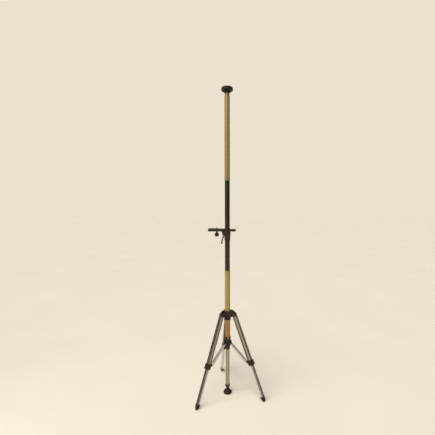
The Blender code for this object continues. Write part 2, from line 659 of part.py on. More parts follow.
def laser_screw(looks):
    under = PLATFORM_Z - 0.0050 - GAP
    washer = box((STUD_X - 0.0120, -0.0100, under - 0.0025), (STUD_X + 0.0120, 0.0100, under))
    made = place("slot_washer", washer, looks["steel"])
    cut(made, along(turned(rod_profile(0.0036, -0.02, 0.02), SMALL_ROUND), (STUD_X, 0, under), (0, 0, 1)))
    neck_top = under - 0.0028
    knob = [
        (0.0070, neck_top),
        (0.0070, 1.2140),
        (0.0130, 1.2130),
        (0.0155, 1.2100),
        (0.0155, 1.1890),
        (0.0140, 1.1855),
        (0.0, 1.1855),
        (0.0, 1.1950),
        (0.0035, 1.1950),
        (0.0035, neck_top),
    ]
    mesh = turned(knob)
    bmesh.ops.translate(mesh, vec=(STUD_X, 0, 0), verts=mesh.verts)
    place("fixing_knob", mesh, looks["plastic"], origin=(STUD_X, 0, 1.2000))
    stud = turned(rod_profile(0.0032, 1.1953, 1.2610, 0.0012), 16)
    bmesh.ops.translate(stud, vec=(STUD_X, 0, 0), verts=stud.verts)
    place("laser_stud", stud, looks["steel"], origin=(STUD_X, 0, 1.2000))


def clamp_lever(looks):
    """An S-shaped lever with a round cam at its top."""
    half = 0.0050
    outline = arc((LEVER_PIVOT.x, LEVER_PIVOT.z), 0.0062, 250, -80, 12)
    middle = [(-0.0300, 1.1880), (-0.0312, 1.1790), (-0.0362, 1.1690), (-0.0398, 1.1560), (-0.0415, 1.1380)]
    outline += [(x + half, z) for x, z in middle]
    outline += arc((-0.0418, 1.1340), 0.0056, 0, -180, 8)
    outline += [(x - half, z) for x, z in reversed(middle)]
    made = place("clamp_lever", side_prism(outline, 0.0080), looks["plastic"], origin=LEVER_PIVOT)
    hole = turned(rod_profile(0.0020 + GAP, -0.02, 0.02), SMALL_ROUND)
    cut(made, along(hole, LEVER_PIVOT, (0, 1, 0)))


def tension_knob(looks):
    knob = [
        (0.0, 0.0650),
        (0.0060, 0.0650),
        (0.0092, 0.0625),
        (0.0102, 0.0580),
        (0.0102, 0.0325),
        (0.0095, 0.0310),
        (0.0034, 0.0310),
        (0.0034, 0.0585),
        (0.0, 0.0585),
    ]
    axis_point = (0, 0, KNOB_AXIS_Z)
    place("tension_knob", along(turned(knob), axis_point, (1, 0, 0)), looks["plastic"], origin=axis_point)
    screw = turned(rod_profile(0.0029, LINER_R + RUN, 0.0580), SMALL_ROUND)
    place("tension_screw", along(screw, axis_point, (1, 0, 0)), looks["steel"], origin=axis_point)


def main():
    for item in list(bpy.data.objects):
        bpy.data.objects.remove(item, do_unlink=True)
    looks = {
        "gold": material("gold_anodised", (0.30, 0.21, 0.08), 0.38, 0.7),
        "black": material("black_anodised", (0.035, 0.032, 0.027), 0.35, 0.4),
        "silver": material("silver_anodised", (0.62, 0.60, 0.56), 0.30, 0.9),
        "plastic": material("black_plastic", (0.022, 0.021, 0.019), 0.45),
        "painted": material("black_paint", (0.030, 0.028, 0.024), 0.40, 0.3),
        "rubber": material("black_rubber", (0.020, 0.018, 0.016), 0.75),
        "nylon": material("pale_nylon", (0.55, 0.50, 0.42), 0.50),
        "steel": material("steel", (0.55, 0.54, 0.52), 0.30, 1.0),
    }
    pole_tubes(looks)
    pole_couplers(looks)
    ceiling_head(looks)
    lower_tube(looks)
    pole_foot(looks)
    brace_hub(looks)
    tripod_collar(looks)
    legs(looks)
    clamp_body(looks)
    platform(looks)
    laser_screw(looks)
    clamp_lever(looks)
    tension_knob(looks)


main()
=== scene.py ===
"""The looks of a laser support pole on a folding tripod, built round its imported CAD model.

Metres, +Z up. The pole stands on the origin and the platform's arm points along -X. Each leg's pieces are
drawn in the leg's own frame: +X away from the pole, +Z up along the leg, with the leg's hinge at the origin.
"""

import json
import math

import bmesh
import bpy
from mathutils import Matrix, Vector


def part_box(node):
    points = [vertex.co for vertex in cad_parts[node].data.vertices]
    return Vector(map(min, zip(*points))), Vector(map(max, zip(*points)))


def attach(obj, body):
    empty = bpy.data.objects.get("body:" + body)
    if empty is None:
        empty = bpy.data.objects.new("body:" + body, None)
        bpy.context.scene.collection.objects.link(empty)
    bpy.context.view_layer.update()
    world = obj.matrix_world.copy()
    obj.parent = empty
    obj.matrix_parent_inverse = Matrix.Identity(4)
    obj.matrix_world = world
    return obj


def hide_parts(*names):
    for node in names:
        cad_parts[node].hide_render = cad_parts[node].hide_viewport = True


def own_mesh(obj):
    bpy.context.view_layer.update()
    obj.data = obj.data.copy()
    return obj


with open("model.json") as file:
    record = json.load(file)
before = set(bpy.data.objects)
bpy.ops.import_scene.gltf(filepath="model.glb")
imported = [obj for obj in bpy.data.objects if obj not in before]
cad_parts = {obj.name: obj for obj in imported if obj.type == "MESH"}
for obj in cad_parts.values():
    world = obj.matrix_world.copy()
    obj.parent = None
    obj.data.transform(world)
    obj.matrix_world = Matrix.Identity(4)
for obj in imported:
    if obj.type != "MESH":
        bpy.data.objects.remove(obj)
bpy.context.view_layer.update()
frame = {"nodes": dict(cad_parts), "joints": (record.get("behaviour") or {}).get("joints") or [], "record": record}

RECORD = frame["record"]
JOINTS = {joint["name"]: joint for joint in frame["joints"]}
SLOT_OF = {part["node"]: part["material_slot"] for part in RECORD["subparts"]}
BODY_OF = {node: body for body, nodes in RECORD["behaviour"]["bodies"].items() for node in nodes}
LEG_NAMES = ("back", "left", "right")

MM = 0.001
ROUND = 96  # sides of a large round piece
SMALL_ROUND = 32  # sides of a pin, a screw or a boss
ARC_STEP = math.radians(15)  # the most that one side of a rounded corner turns


# -------------------- outlines
def rounded(corners):
    """The points of an outline. A corner with a third number is rounded by an arc of that radius."""
    points = []
    for i, corner in enumerate(corners):
        here = Vector(corner[:2])
        radius = corner[2] if len(corner) > 2 else 0.0
        if radius == 0.0:
            points.append(tuple(here))
            continue
        before = (Vector(corners[i - 1][:2]) - here).normalized()
        after = (Vector(corners[(i + 1) % len(corners)][:2]) - here).normalized()
        half = before.angle(after) / 2
        centre = here + (before + after).normalized() * radius / math.sin(half)
        first = here + before * radius / math.tan(half) - centre
        last = here + after * radius / math.tan(half) - centre
        sweep = -first.angle_signed(last)
        steps = max(2, math.ceil(abs(sweep) / ARC_STEP))
        for step in range(steps + 1):
            turn = sweep * step / steps
            points.append(tuple(centre + Matrix.Rotation(turn, 2) @ first))
    return points


def arc(centre, radius, start, end, steps):
    """Points on a circle from start to end, in degrees."""
    angles = [math.radians(start + (end - start) * i / steps) for i in range(steps + 1)]
    return [(centre[0] + radius * math.cos(a), centre[1] + radius * math.sin(a)) for a in angles]


def rectangle(low, high, corner=0.0):
    """The outline of a rectangle between two opposite corners, each corner with its radius."""
    places = ((low[0], low[1]), (high[0], low[1]), (high[0], high[1]), (low[0], high[1]))
    return [(x, y, corner) for x, y in places]


def fluted_line(start, end, places, width, depth):
    """A straight line with a flat-bottomed flute on its left at each place, measured from its start."""
    start, end = Vector(start), Vector(end)
    ahead = (end - start).normalized()
    inward = Vector((-ahead.y, ahead.x)) * depth
    points = [tuple(start)]
    for place in places:
        for offset, sunk in ((-0.5, 0), (-0.3, 1), (0.3, 1), (0.5, 0)):
            points.append(tuple(start + ahead * (place + offset * width) + inward * sunk))
    return points + [tuple(end)]


# -------------------- meshes
def turned(profile, sides=ROUND):
    """A closed profile of (radius, height) corners turned round Z. A point on the axis becomes one vertex."""
    mesh = bmesh.new()
    rings = []
    for radius, height in rounded(profile):
        angles = [0.0] if radius == 0.0 else [2 * math.pi * i / sides for i in range(sides)]
        rings.append([mesh.verts.new((radius * math.cos(a), radius * math.sin(a), height)) for a in angles])
    for ring, following in zip(rings, rings[1:] + rings[:1]):
        for i in range(sides):
            j = (i + 1) % sides
            corners = [ring[i % len(ring)], ring[j % len(ring)]]
            corners += [following[j % len(following)], following[i % len(following)]]
            distinct = list(dict.fromkeys(corners))
            if len(distinct) > 2:
                mesh.faces.new(distinct)
    bmesh.ops.recalc_face_normals(mesh, faces=mesh.faces)
    return mesh


def skin(mesh, rings):
    """Joins rings of vertices into a closed skin, with a face across the first ring and the last."""
    for ring, following in zip(rings, rings[1:]):
        for i in range(len(ring)):
            j = (i + 1) % len(ring)
            mesh.faces.new([ring[i], ring[j], following[j], following[i]])
    mesh.faces.new(rings[0])
    mesh.faces.new(rings[-1])
    bmesh.ops.recalc_face_normals(mesh, faces=mesh.faces)
    return mesh


def flute(mesh, count, depth, low, high, inner):
    """Draws in a turned mesh, where it is wider than inner, in a number of hollows between two heights."""
    for vert in mesh.verts:
        radius = math.hypot(vert.co.x, vert.co.y)
        if low <= vert.co.z <= high and radius > inner:
            angle = math.atan2(vert.co.y, vert.co.x)
            share = 1 - depth / radius * (0.5 - 0.5 * math.cos(count * angle))
            vert.co.x *= share
            vert.co.y *= share
    return mesh


def drawn(outline, low, high):
    """An outline of (x, y) corners drawn up Z from low to high."""
    mesh = bmesh.new()
    face = mesh.faces.new([mesh.verts.new((x, y, low)) for x, y in rounded(outline)])
    made = bmesh.ops.extrude_face_region(mesh, geom=[face])
    top = [item for item in made["geom"] if isinstance(item, bmesh.types.BMVert)]
    bmesh.ops.translate(mesh, vec=(0.0, 0.0, high - low), verts=top)
    bmesh.ops.recalc_face_normals(mesh, faces=mesh.faces)
    return mesh


def soften_rims(mesh, height, edge):
    """Rounds the rims of a drawn outline, which are its edges that rise less than half its height."""
    if edge:
        rims = [e for e in mesh.edges if abs(e.verts[0].co.z - e.verts[1].co.z) < height / 2]
        bmesh.ops.bevel(mesh, geom=rims, offset=edge, segments=3, profile=0.5, affect="EDGES")
    return mesh


def slab(outline, half_width, edge=0.0, middle=0.0):
    """An outline of (x, z) corners drawn along Y to both sides of middle, with its rims rounded by edge."""
    mesh = soften_rims(drawn(outline, -half_width, half_width), 2 * half_width, edge)
    stand_up = Matrix(((1, 0, 0, 0), (0, 0, -1, middle), (0, 1, 0, 0), (0, 0, 0, 1)))
    return moved(mesh, stand_up)


def block(low, high, corner=0.0, edge=0.0):
    """A box with its four upright corners rounded by corner and its top and bottom rims by edge."""
    return soften_rims(drawn(rectangle(low, high, corner), low[2], high[2]), high[2] - low[2], edge)


def rod(radius, low, high, edge=0.0, sides=SMALL_ROUND):
    """A solid round bar up Z with rounded rims."""
    return turned([(0.0, high), (radius, high, edge), (radius, low, edge), (0.0, low)], sides)


def moved(mesh, matrix):
    bmesh.ops.transform(mesh, matrix=matrix, verts=mesh.verts)
    return mesh


def along(start, direction):
    """The matrix that turns Z to a direction and moves the origin to start."""
    return Matrix.Translation(start) @ Vector(direction).to_track_quat("Z", "Y").to_matrix().to_4x4()


def turn_z(degrees):
    return Matrix.Rotation(math.radians(degrees), 4, "Z")


def cross_hole(x, z, radius, turn=Matrix(), reach=0.02, sides=SMALL_ROUND):
    """A round cutter along Y through (x, z), in the frame that turn gives."""
    return moved(rod(radius, -reach, reach, sides=sides), turn @ along((x, 0, z), (0, 1, 0)))


def mesh_data(name, mesh):
    data = bpy.data.meshes.new(name)
    mesh.to_mesh(data)
    mesh.free()
    return data


def in_scene(name, data):
    """A new object that shows data, linked to the scene."""
    made = bpy.data.objects.new(name, data)
    bpy.context.scene.collection.objects.link(made)
    return made


def solid(adds, cuts=()):
    """One closed mesh: the first of adds joined with the others, less the cuts."""
    helpers = []
    for i, mesh in enumerate([*adds, *cuts]):
        helpers.append(in_scene("helper", mesh_data("helper", mesh)))
        if i:
            modifier = helpers[0].modifiers.new("step", "BOOLEAN")
            modifier.operation = "UNION" if i < len(adds) else "DIFFERENCE"
            modifier.object = helpers[i]
    result = bmesh.new()
    result.from_object(helpers[0], bpy.context.evaluated_depsgraph_get())
    for helper in helpers:
        bpy.data.meshes.remove(helper.data)
    return result


# -------------------- materials
class Look:
    """A procedural material. Its patterns follow the piece's own coordinates and move with it."""

    def __init__(self, name, roughness, metallic=0.0):
        self.material = bpy.data.materials.new(name)
        self.material.use_nodes = True
        self.tree = self.material.node_tree
        self.shader = self.tree.nodes["Principled BSDF"]
        self.set(Metallic=metallic, Roughness=roughness)
        self.place = self.node("TexCoord").outputs["Object"]

    def node(self, kind, **inputs):
        made = self.tree.nodes.new("ShaderNode" + kind)
        self.fill(made.inputs, inputs)
        return made

    def set(self, **inputs):
        self.fill(self.shader.inputs, inputs)

    def fill(self, sockets, values):
        """Puts values on sockets by name. An underscore in a name stands for a space."""
        for name, value in values.items():
            self.put(sockets[name.replace("_", " ")], value)

    def put(self, socket, value):
        """Links an output to a socket, or sets a plain value on it."""
        if isinstance(value, bpy.types.NodeSocket):
            self.tree.links.new(value, socket)
        else:
            socket.default_value = value

    def noise(self, scale, detail=3.0, stretch=(1.0, 1.0, 1.0)):
        mapping = self.node("Mapping", Vector=self.place, Scale=stretch)
        pattern = self.node("TexNoise", Vector=mapping.outputs[0], Scale=scale, Detail=detail)
        return pattern.outputs["Fac"]

    def span(self, value, low=0.0, high=1.0, start=0.3, end=0.7):
        """Maps a pattern's usual values onto low to high."""
        made = self.node("MapRange", Value=value)
        for socket, number in zip(made.inputs[1:5], (start, end, low, high)):
            socket.default_value = number
        return made.outputs[0]

    def mix(self, share, first, second):
        made = self.node("Mix")
        made.data_type = "RGBA"
        self.put(made.inputs["Factor"], share)
        self.put(made.inputs[6], first)
        self.put(made.inputs[7], second)
        return made.outputs[2]

    def worn_edges(self, radius):
        """1 on a piece's sharp edges, falling to 0 on its flat and evenly curved faces."""
        soft = self.node("Bevel", Radius=radius)
        soft.samples = 4
        face = self.node("NewGeometry").outputs["Normal"]
        alike = self.node("VectorMath")
        alike.operation = "DOT_PRODUCT"
        self.put(alike.inputs[0], soft.outputs[0])
        self.put(alike.inputs[1], face)
        return self.span(alike.outputs["Value"], 1.0, 0.0, 0.86, 0.99)

    def bump(self, height, strength, distance):
        made = self.node("Bump", Height=height, Strength=strength, Distance=distance)
        self.set(Normal=made.outputs[0])

    def colour(self, value):
        self.set(Base_Color=value)

    def roughness(self, value):
        self.set(Roughness=value)


def shade(colour, factor):
    return (*(min(1.0, channel * factor) for channel in colour), 1.0)


def drawn_metal(name, colour, roughness, metallic, grain=(1.0, 1.0, 0.012), painted_shading=None, sheen=None):
    """Anodised aluminium, with the fine lines of the die along its length and faint handling marks.

    Painted reflection and shade, where given, change its colour from place to place, and a sheen colours what it
    mirrors."""
    look = Look(name, roughness, metallic)
    lines = look.noise(1400.0, 3.0, grain)
    marks = look.noise(9.0, 4.0)
    lined = look.mix(look.span(lines), shade(colour, 0.86), shade(colour, 1.1))
    # a painted reflection and painted shade of a piece go into its colour here, where given
    if painted_shading:
        lined = painted_shading(look, lined)
    edges = look.worn_edges(0.6 * MM)
    look.colour(look.mix(edges, lined, shade(colour, 1.35)))
    streaks = look.span(lines, roughness - 0.05, roughness + 0.05)
    smudges = look.span(marks, 0.0, 0.1, 0.45, 0.75)
    total = look.node("Math")
    look.put(total.inputs[0], streaks)
    look.put(total.inputs[1], smudges)
    look.roughness(total.outputs[0])
    look.bump(lines, 0.12, 0.05 * MM)
    if sheen:
        look.set(Specular_Tint=sheen)
    return look.material


def floor_reflection_painted(look, colour):
    """A painted reflection of a brown floor: the gold tube turns to a warmer, more orange gold below the tripod's
    collar.
    """
    height = look.node("SeparateXYZ", Vector=look.place).outputs[2]
    share = look.span(height, 1.0, 0.0, 0.52, 0.64)
    return look.mix(share, colour, REFLECTED_FLOOR_GOLD)


def across_leg(look, stops):
    """A factor that changes across a leg's depth: stops are (x, factor) pairs in the leg's own frame."""
    depth = look.node("SeparateXYZ", Vector=look.place).outputs[0]
    ramp = look.node("ValToRGB", Fac=look.span(depth, 0.0, 1.0, -LEG_REACH, LEG_REACH))
    elements = ramp.color_ramp.elements
    while len(elements) < len(stops):
        elements.new(0.5)
    for element, (x, factor) in zip(elements, stops):
        element.position = (x / LEG_REACH + 1) / 2
        element.color = (factor, factor, factor, 1.0)
    return ramp.outputs["Color"]


def upper_leg_painted_shade(look, colour):
    """Painted shade: the fluted web and the fluted strips beside the opening are painted darker than the smooth
    band, as the shade of their flutes.
    """
    dark, pale = 0.16, 1.0
    stops = ((-5.0 * MM, dark), (-3.6 * MM, pale), (9.5 * MM, pale), (11.0 * MM, dark))
    return look.mix(across_leg(look, stops), UPPER_FLUTE_SHADE, colour)


def lower_leg_painted_shade(look, colour):
    """Painted shade: the fluted half beside the opening is painted dark, as the shade of its flutes, and the half
    next to the pole is bright.
    """
    stops = ((-2.0 * MM, 1.0), (-0.8 * MM, 0.08))
    return look.mix(across_leg(look, stops), LOWER_FLUTE_SHADE, colour)


def moulded(name, colour, roughness, grain, depth):
    """Moulded plastic or rubber: a fine grain from the mould, and edges rubbed smoother and paler."""
    look = Look(name, roughness)
    fine = look.noise(grain, 2.0)
    cloud = look.noise(14.0, 4.0)
    base = look.mix(look.span(cloud), shade(colour, 0.85), shade(colour, 1.2))
    edges = look.worn_edges(0.9 * MM)
    look.colour(look.mix(edges, base, shade(colour, 2.1)))
    soft = look.span(fine, roughness - 0.05, roughness + 0.07)
    polished = look.mix(edges, soft, (roughness - 0.12,) * 3 + (1.0,))
    look.roughness(polished)
    look.bump(fine, 0.35, depth)
    look.set(Specular_IOR_Level=0.35, Specular_Tint=WARM_SHEEN)
    return look.material


def powder_coat(name, colour, roughness):
    """Powder coat on metal: a fine orange peel, and edges worn paler."""
    look = Look(name, roughness)
    peel = look.noise(620.0, 2.0)
    cloud = look.noise(20.0, 3.0)
    base = look.mix(look.span(cloud), shade(colour, 0.9), shade(colour, 1.15))
    look.colour(look.mix(look.worn_edges(0.7 * MM), base, shade(colour, 2.6)))
    look.roughness(look.span(cloud, roughness - 0.04, roughness + 0.06))
    look.bump(peel, 0.3, 0.1 * MM)
    look.set(Specular_Tint=WARM_SHEEN, Coat_Weight=0.15, Coat_Roughness=0.35)
    return look.material


def nylon(name, colour):
    look = Look(name, 0.42)
    cloud = look.noise(60.0, 4.0)
    look.colour(look.mix(look.span(cloud), shade(colour, 0.93), shade(colour, 1.05)))
    look.bump(look.noise(900.0, 2.0), 0.15, 0.05 * MM)
    look.set(Subsurface_Weight=0.08, Subsurface_Radius=(0.002, 0.0018, 0.0015))
    return look.material


def plated_steel(name, colour, blotch):
    """Plated steel: a mottled crystal pattern, brighter where it is rubbed."""
    look = Look(name, 0.28, 1.0)
    crystals = look.noise(420.0, 4.0)
    blotches = look.noise(70.0, 3.0)
    base = look.mix(look.span(blotches), shade(colour, 0.82), (*blotch, 1.0))
    look.colour(look.mix(look.worn_edges(0.4 * MM), base, shade(colour, 1.3)))
    look.roughness(look.span(crystals, 0.22, 0.38))
    look.bump(crystals, 0.1, 0.05 * MM)
    return look.material


LEG_REACH = 20.0 * MM  # further than any leg profile's half depth
GOLD = (0.3, 0.222, 0.062)
# painted light: a brighter copy of GOLD for the lower gold tube, where more light falls
BRIGHTER_LIT_GOLD = (0.35, 0.265, 0.081)
# painted reflection of a brown floor, on the gold tube below the collar
REFLECTED_FLOOR_GOLD = (0.357, 0.191, 0.065, 1.0)
SILVER = (0.37, 0.33, 0.27)
BLACK = (0.015, 0.0118, 0.007)
DEEP_BLACK = (0.0095, 0.0068, 0.0025)
# painted shade: dark colours laid on the legs' fluted stretches for the shadow in their flutes
UPPER_FLUTE_SHADE = (0.04, 0.036, 0.031, 1.0)  # the legs' fluted stretches, which hold the shadow of their lines
# painted shade for the lower legs' fluted half
LOWER_FLUTE_SHADE = (0.04, 0.032, 0.027, 1.0)
WARM_SHEEN = (0.95, 0.8, 0.52, 1.0)  # the tint of what a black piece mirrors
LENGTHWISE = (0.012, 1.0, 1.0)  # grain of a piece whose length lies along its own X
LOOKS = {
    "gold_anodised": drawn_metal("gold_anodised_tube", GOLD, 0.42, 0.4),
    "black_anodised": drawn_metal("black_anodised_tube", DEEP_BLACK, 0.3, 0.0, sheen=WARM_SHEEN),
    "silver_anodised": drawn_metal("natural_aluminium", SILVER, 0.3, 0.85),
    "black_plastic": moulded("black_moulded_plastic", BLACK, 0.42, 1500.0, 0.12 * MM),
    "black_rubber": moulded("black_rubber_moulding", (0.011, 0.0086, 0.0052), 0.62, 900.0, 0.16 * MM),
    "black_paint": powder_coat("black_powder_coat", (0.013, 0.0105, 0.0062), 0.38),
    "pale_nylon": nylon("pale_nylon_moulding", (0.62, 0.55, 0.45)),
    "steel": plated_steel("zinc_plated_steel", (0.62, 0.6, 0.57), (0.66, 0.68, 0.72)),
}
# the lower gold tube, painted brighter and with a painted reflection of a brown floor below the collar
LOWER_GOLD_LIT_AND_REFLECTED = drawn_metal("gold_lower_tube_with_painted_light", BRIGHTER_LIT_GOLD, 0.42, 0.4, painted_shading=floor_reflection_painted)
BRACE_METAL = drawn_metal("aluminium_brace", (0.5, 0.455, 0.39), 0.34, 0.5, grain=LENGTHWISE)
DULL_METAL = drawn_metal("dull_aluminium", (0.22, 0.182, 0.108), 0.5, 0.45)
# the upper legs' aluminium, with painted shade on its fluted web and strips
UPPER_LEG_SHADED_METAL = drawn_metal("shade_painted_upper_leg_aluminium", (0.34, 0.305, 0.25), 0.3, 0.85, painted_shading=upper_leg_painted_shade)
# a darker copy of the plated steel, for the leg pins and the pinch screw
DARK_STEEL = plated_steel("darker_plated_steel", (0.13, 0.12, 0.105), (0.2, 0.19, 0.17))
# the lower legs' aluminium, with painted shade on its fluted half
LOWER_LEG_SHADED_METAL = drawn_metal("shade_painted_lower_leg_aluminium", (0.7, 0.66, 0.6), 0.34, 0.6, painted_shading=lower_leg_painted_shade)


def dress(node, mesh, matrix=None, look=None, sharp=30):
    """Shows a finely shaped piece in place of a CAD node, on its body, in the look of its record's material slot
    unless another look is given.
    """
    data = mesh_data(f"{node}_shape", mesh)
    data.shade_smooth()
    data.set_sharp_from_angle(angle=math.radians(sharp))
    data.materials.append(look or LOOKS[SLOT_OF[node]])
    piece = in_scene(f"{node}_shape", data)
    piece.matrix_world = matrix or Matrix()
    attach(piece, BODY_OF[node])
    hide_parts(node)
    return piece


def keep(node):
    """A CAD node whose shape is right stays, and gets the finer material."""
    mesh = frame["nodes"][node].data
    mesh.materials.clear()
    mesh.materials.append(LOOKS[SLOT_OF[node]])


# -------------------- places, from the frame
def radial_frame(joint_name):
    """+X away from the pole through a joint, at the pole's own height zero."""
    place = JOINTS[joint_name]["pos_m"]
    return Matrix.Rotation(math.atan2(place[1], place[0]), 4, "Z")


def axes_frame(origin, across, up):
    """A frame whose Y is across and whose Z is up."""
    across, up = Vector(across), Vector(up)
    outward = across.cross(up)
    turn = Matrix((outward, across, up)).transposed()
    return Matrix.Translation(origin) @ turn.to_4x4()


def leg_frame(name):
    fold = JOINTS[f"leg_fold_{name}"]
    return axes_frame(fold["pos_m"], fold["axis"], JOINTS[f"leg_extend_{name}"]["axis"])


HINGE_R = Vector(JOINTS["leg_fold_left"]["pos_m"][:2]).length
HINGE_Z = JOINTS["leg_fold_left"]["pos_m"][2]
BRACE_HUB_R = Vector(JOINTS["brace_fold_left"]["pos_m"][:2]).length
BRACE_HUB_Z = JOINTS["brace_fold_left"]["pos_m"][2]
LEG_TILT = math.acos(JOINTS["leg_extend_left"]["axis"][2])
FRONT = 279.5  # midway between the left and right legs, in degrees from +X
GAP = 0.3 * MM  # between pieces that fit into each other
PIVOT_HOLE = 2.8 * MM  # radius of the tripod's pivot holes
PIVOT_PIN = 2.5 * MM


# -------------------- pole
def tube_mesh(node, wall, rim=0.4 * MM):
    """A round tube of a node's own height and outer radius, with rounded rims."""
    low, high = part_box(node)
    inner = high.x - wall
    profile = [(inner, low.z, rim), (high.x, low.z, rim), (high.x, high.z, rim), (inner, high.z, rim)]
    return turned(profile)


def pole_tubes():
    """The two gold tubes, the black one between them and the silver one that slides out below."""
    wall = 1.5 * MM
    dress("upper_gold_tube", tube_mesh("upper_gold_tube", wall))
    dress("black_tube", tube_mesh("black_tube", wall))
    # the lower gold tube's look holds painted light and a painted floor reflection
    dress("lower_gold_tube", tube_mesh("lower_gold_tube", wall), look=LOWER_GOLD_LIT_AND_REFLECTED)
    dress("lower_tube", tube_mesh("lower_tube", wall))


def joint_rings():
    """The rings between the pole's sections stand on spigots inside the tubes. The taller one is knurled."""
    bore, black_fit, gold_fit = 0.0145, 0.0172, 0.0182
    low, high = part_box("upper_coupler")
    ring_low, ring_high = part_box("black_tube")[1].z + GAP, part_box("upper_gold_tube")[0].z - GAP
    land, groove, sink = 3.6 * MM, 0.8 * MM, 0.5 * MM
    profile = [(bore, low.z), (black_fit, low.z), (black_fit, ring_low), (high.x, ring_low, 0.7 * MM)]
    for edge, away in ((ring_low + land, 1), (ring_high - land, -1)):
        start, end = sorted((edge - away * groove / 2, edge + away * groove / 2))
        profile += [(high.x, start), (high.x - sink, start), (high.x - sink, end), (high.x, end)]
    profile += [(high.x, ring_high, 0.7 * MM), (gold_fit, ring_high), (gold_fit, high.z), (bore, high.z)]
    knurls = 60
    ring = turned(profile, knurls * 4)
    edge = groove / 2 - 0.1 * MM
    flute(ring, knurls, 0.45 * MM, ring_low + land + edge, ring_high - land - edge, high.x - 0.1 * MM)
    dress("upper_coupler", ring, look=DULL_METAL)
    low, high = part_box("lower_coupler")
    ring_low, ring_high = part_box("lower_gold_tube")[1].z + GAP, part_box("black_tube")[0].z - GAP
    profile = [(bore, low.z), (gold_fit, low.z), (gold_fit, ring_low), (high.x, ring_low, 0.5 * MM)]
    profile += [(high.x, ring_high, 0.5 * MM), (black_fit, ring_high), (black_fit, high.z), (bore, high.z)]
    dress("lower_coupler", turned(profile), look=DULL_METAL)


def cross_screw(radius, length, head_radius, head_height):
    """A pan-head screw along +Z, with its head below 0 and a cross recess in it."""
    profile = [(0.0, length), (radius, length, 0.3 * MM), (radius, 0.0), (head_radius, 0.0, 0.2 * MM)]
    profile += [(head_radius, -head_height, head_height * 0.6), (0.0, -head_height)]
    slot = [0.55 * head_radius, 0.13 * head_radius]
    cuts = [block((-a, -b, -head_height - MM), (a, b, -0.45 * head_height)) for a, b in (slot, slot[::-1])]
    return solid([turned(profile, SMALL_ROUND)], cuts)


def plunger():
    """The sprung head's tube, with a slot at its back for the screw that keeps it in the gold tube."""
    slot_half, slot_low, slot_high, screw_z = 2.4 * MM, 2.1977, 2.219, 2.2
    slot = block((-slot_half, 0.012, slot_low), (slot_half, 0.02, slot_high), edge=0.4 * MM)
    dress("plunger_tube", solid([tube_mesh("plunger_tube", 1.8 * MM)], [slot]), look=DULL_METAL)
    screw_place = along((0.0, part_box("upper_gold_tube")[1].x + GAP, screw_z), (0, -1, 0))
    dress("retaining_screw", cross_screw(1.9 * MM, 4.8 * MM, 3.6 * MM, 1.8 * MM), screw_place)
    keep("spring_seat")


def plunger_spring():
    """The spring's wire, drawn round a helix."""
    low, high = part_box("plunger_spring")
    wire, turns, steps, sides = 1.2 * MM, 8, 40, 12
    coil = high.x - wire
    mesh = bmesh.new()
    rings = []
    for i in range(turns * steps + 1):
        angle = 2 * math.pi * i / steps
        outward = Vector((math.cos(angle), math.sin(angle), 0.0))
        centre = coil * outward
        centre.z = low.z + wire + (high.z - low.z - 2 * wire) * i / (turns * steps)
        round_wire = [2 * math.pi * k / sides for k in range(sides)]
        offsets = [outward * math.cos(a) + Vector((0.0, 0.0, math.sin(a))) for a in round_wire]
        rings.append([mesh.verts.new(centre + wire * offset) for offset in offsets])
    spring = dress("plunger_spring", skin(mesh, rings))
    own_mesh(spring)


def pad_socket():
    """The socket on the plunger: a neck, a flange under the pad, and gussets between them."""
    low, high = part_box("pad_socket")
    flange_z, floor_z = high.z - 2.0 * MM, 2.285
    neck, bore = 0.0195, 0.0184
    bead = neck + 0.9 * MM
    profile = [(0.0, high.z), (high.x, high.z, 0.6 * MM), (high.x, flange_z, 0.6 * MM)]
    profile += [(neck, flange_z - 1.5 * MM, 2.5 * MM), (neck, low.z + 3.0 * MM)]
    profile += [(bead, low.z + 2.4 * MM, 0.3 * MM), (bead, low.z, 0.5 * MM), (bore, low.z, 0.4 * MM)]
    profile += [(bore, floor_z), (0.0, floor_z)]
    shapes = [turned(profile)]
    root, foot_z, top_z = 0.0186, low.z + 0.007, flange_z + 0.4 * MM
    gusset = [(root, foot_z), (0.021, foot_z, MM), (0.028, top_z), (root, top_z)]
    count = 8
    for i in range(count):
        shapes.append(moved(slab(gusset, 0.9 * MM, 0.3 * MM), turn_z((i + 0.5) * 360 / count)))
    dress("pad_socket", solid(shapes))


def ceiling_pad():
    """A soft rubber cap with ring-shaped grooves in its top and a line round its side."""
    low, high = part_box("ceiling_pad")
    top, radius, pocket = high.z, high.x, 0.0303
    groove, sink = 1.5 * MM, 1.1 * MM
    profile = [(0.0, top)]
    for i in range(7):
        start = (6.0 + 4.0 * i) * MM
        profile += [(start, top, 0.3 * MM), (start + 0.3 * MM, top - sink), (start + groove, top - sink)]
        profile += [(start + groove + 0.3 * MM, top, 0.3 * MM)]
    line_z, nick = low.z + 0.0105, 0.9 * MM
    profile += [(0.0365, top, 2.0 * MM), (0.042, top - 2.2 * MM, 2.5 * MM)]
    profile += [(radius, top - 7.0 * MM, 2.5 * MM), (radius, line_z + nick, 0.4 * MM)]
    profile += [(radius - nick, line_z), (radius, line_z - nick, 0.4 * MM)]
    profile += [(radius, low.z + 3.0 * MM, 1.5 * MM), (0.043, low.z, 1.2 * MM), (pocket, low.z, 0.6 * MM)]
    profile += [(pocket, low.z + 2.3 * MM), (0.0, low.z + 2.3 * MM)]
    dress("ceiling_pad", turned(profile))


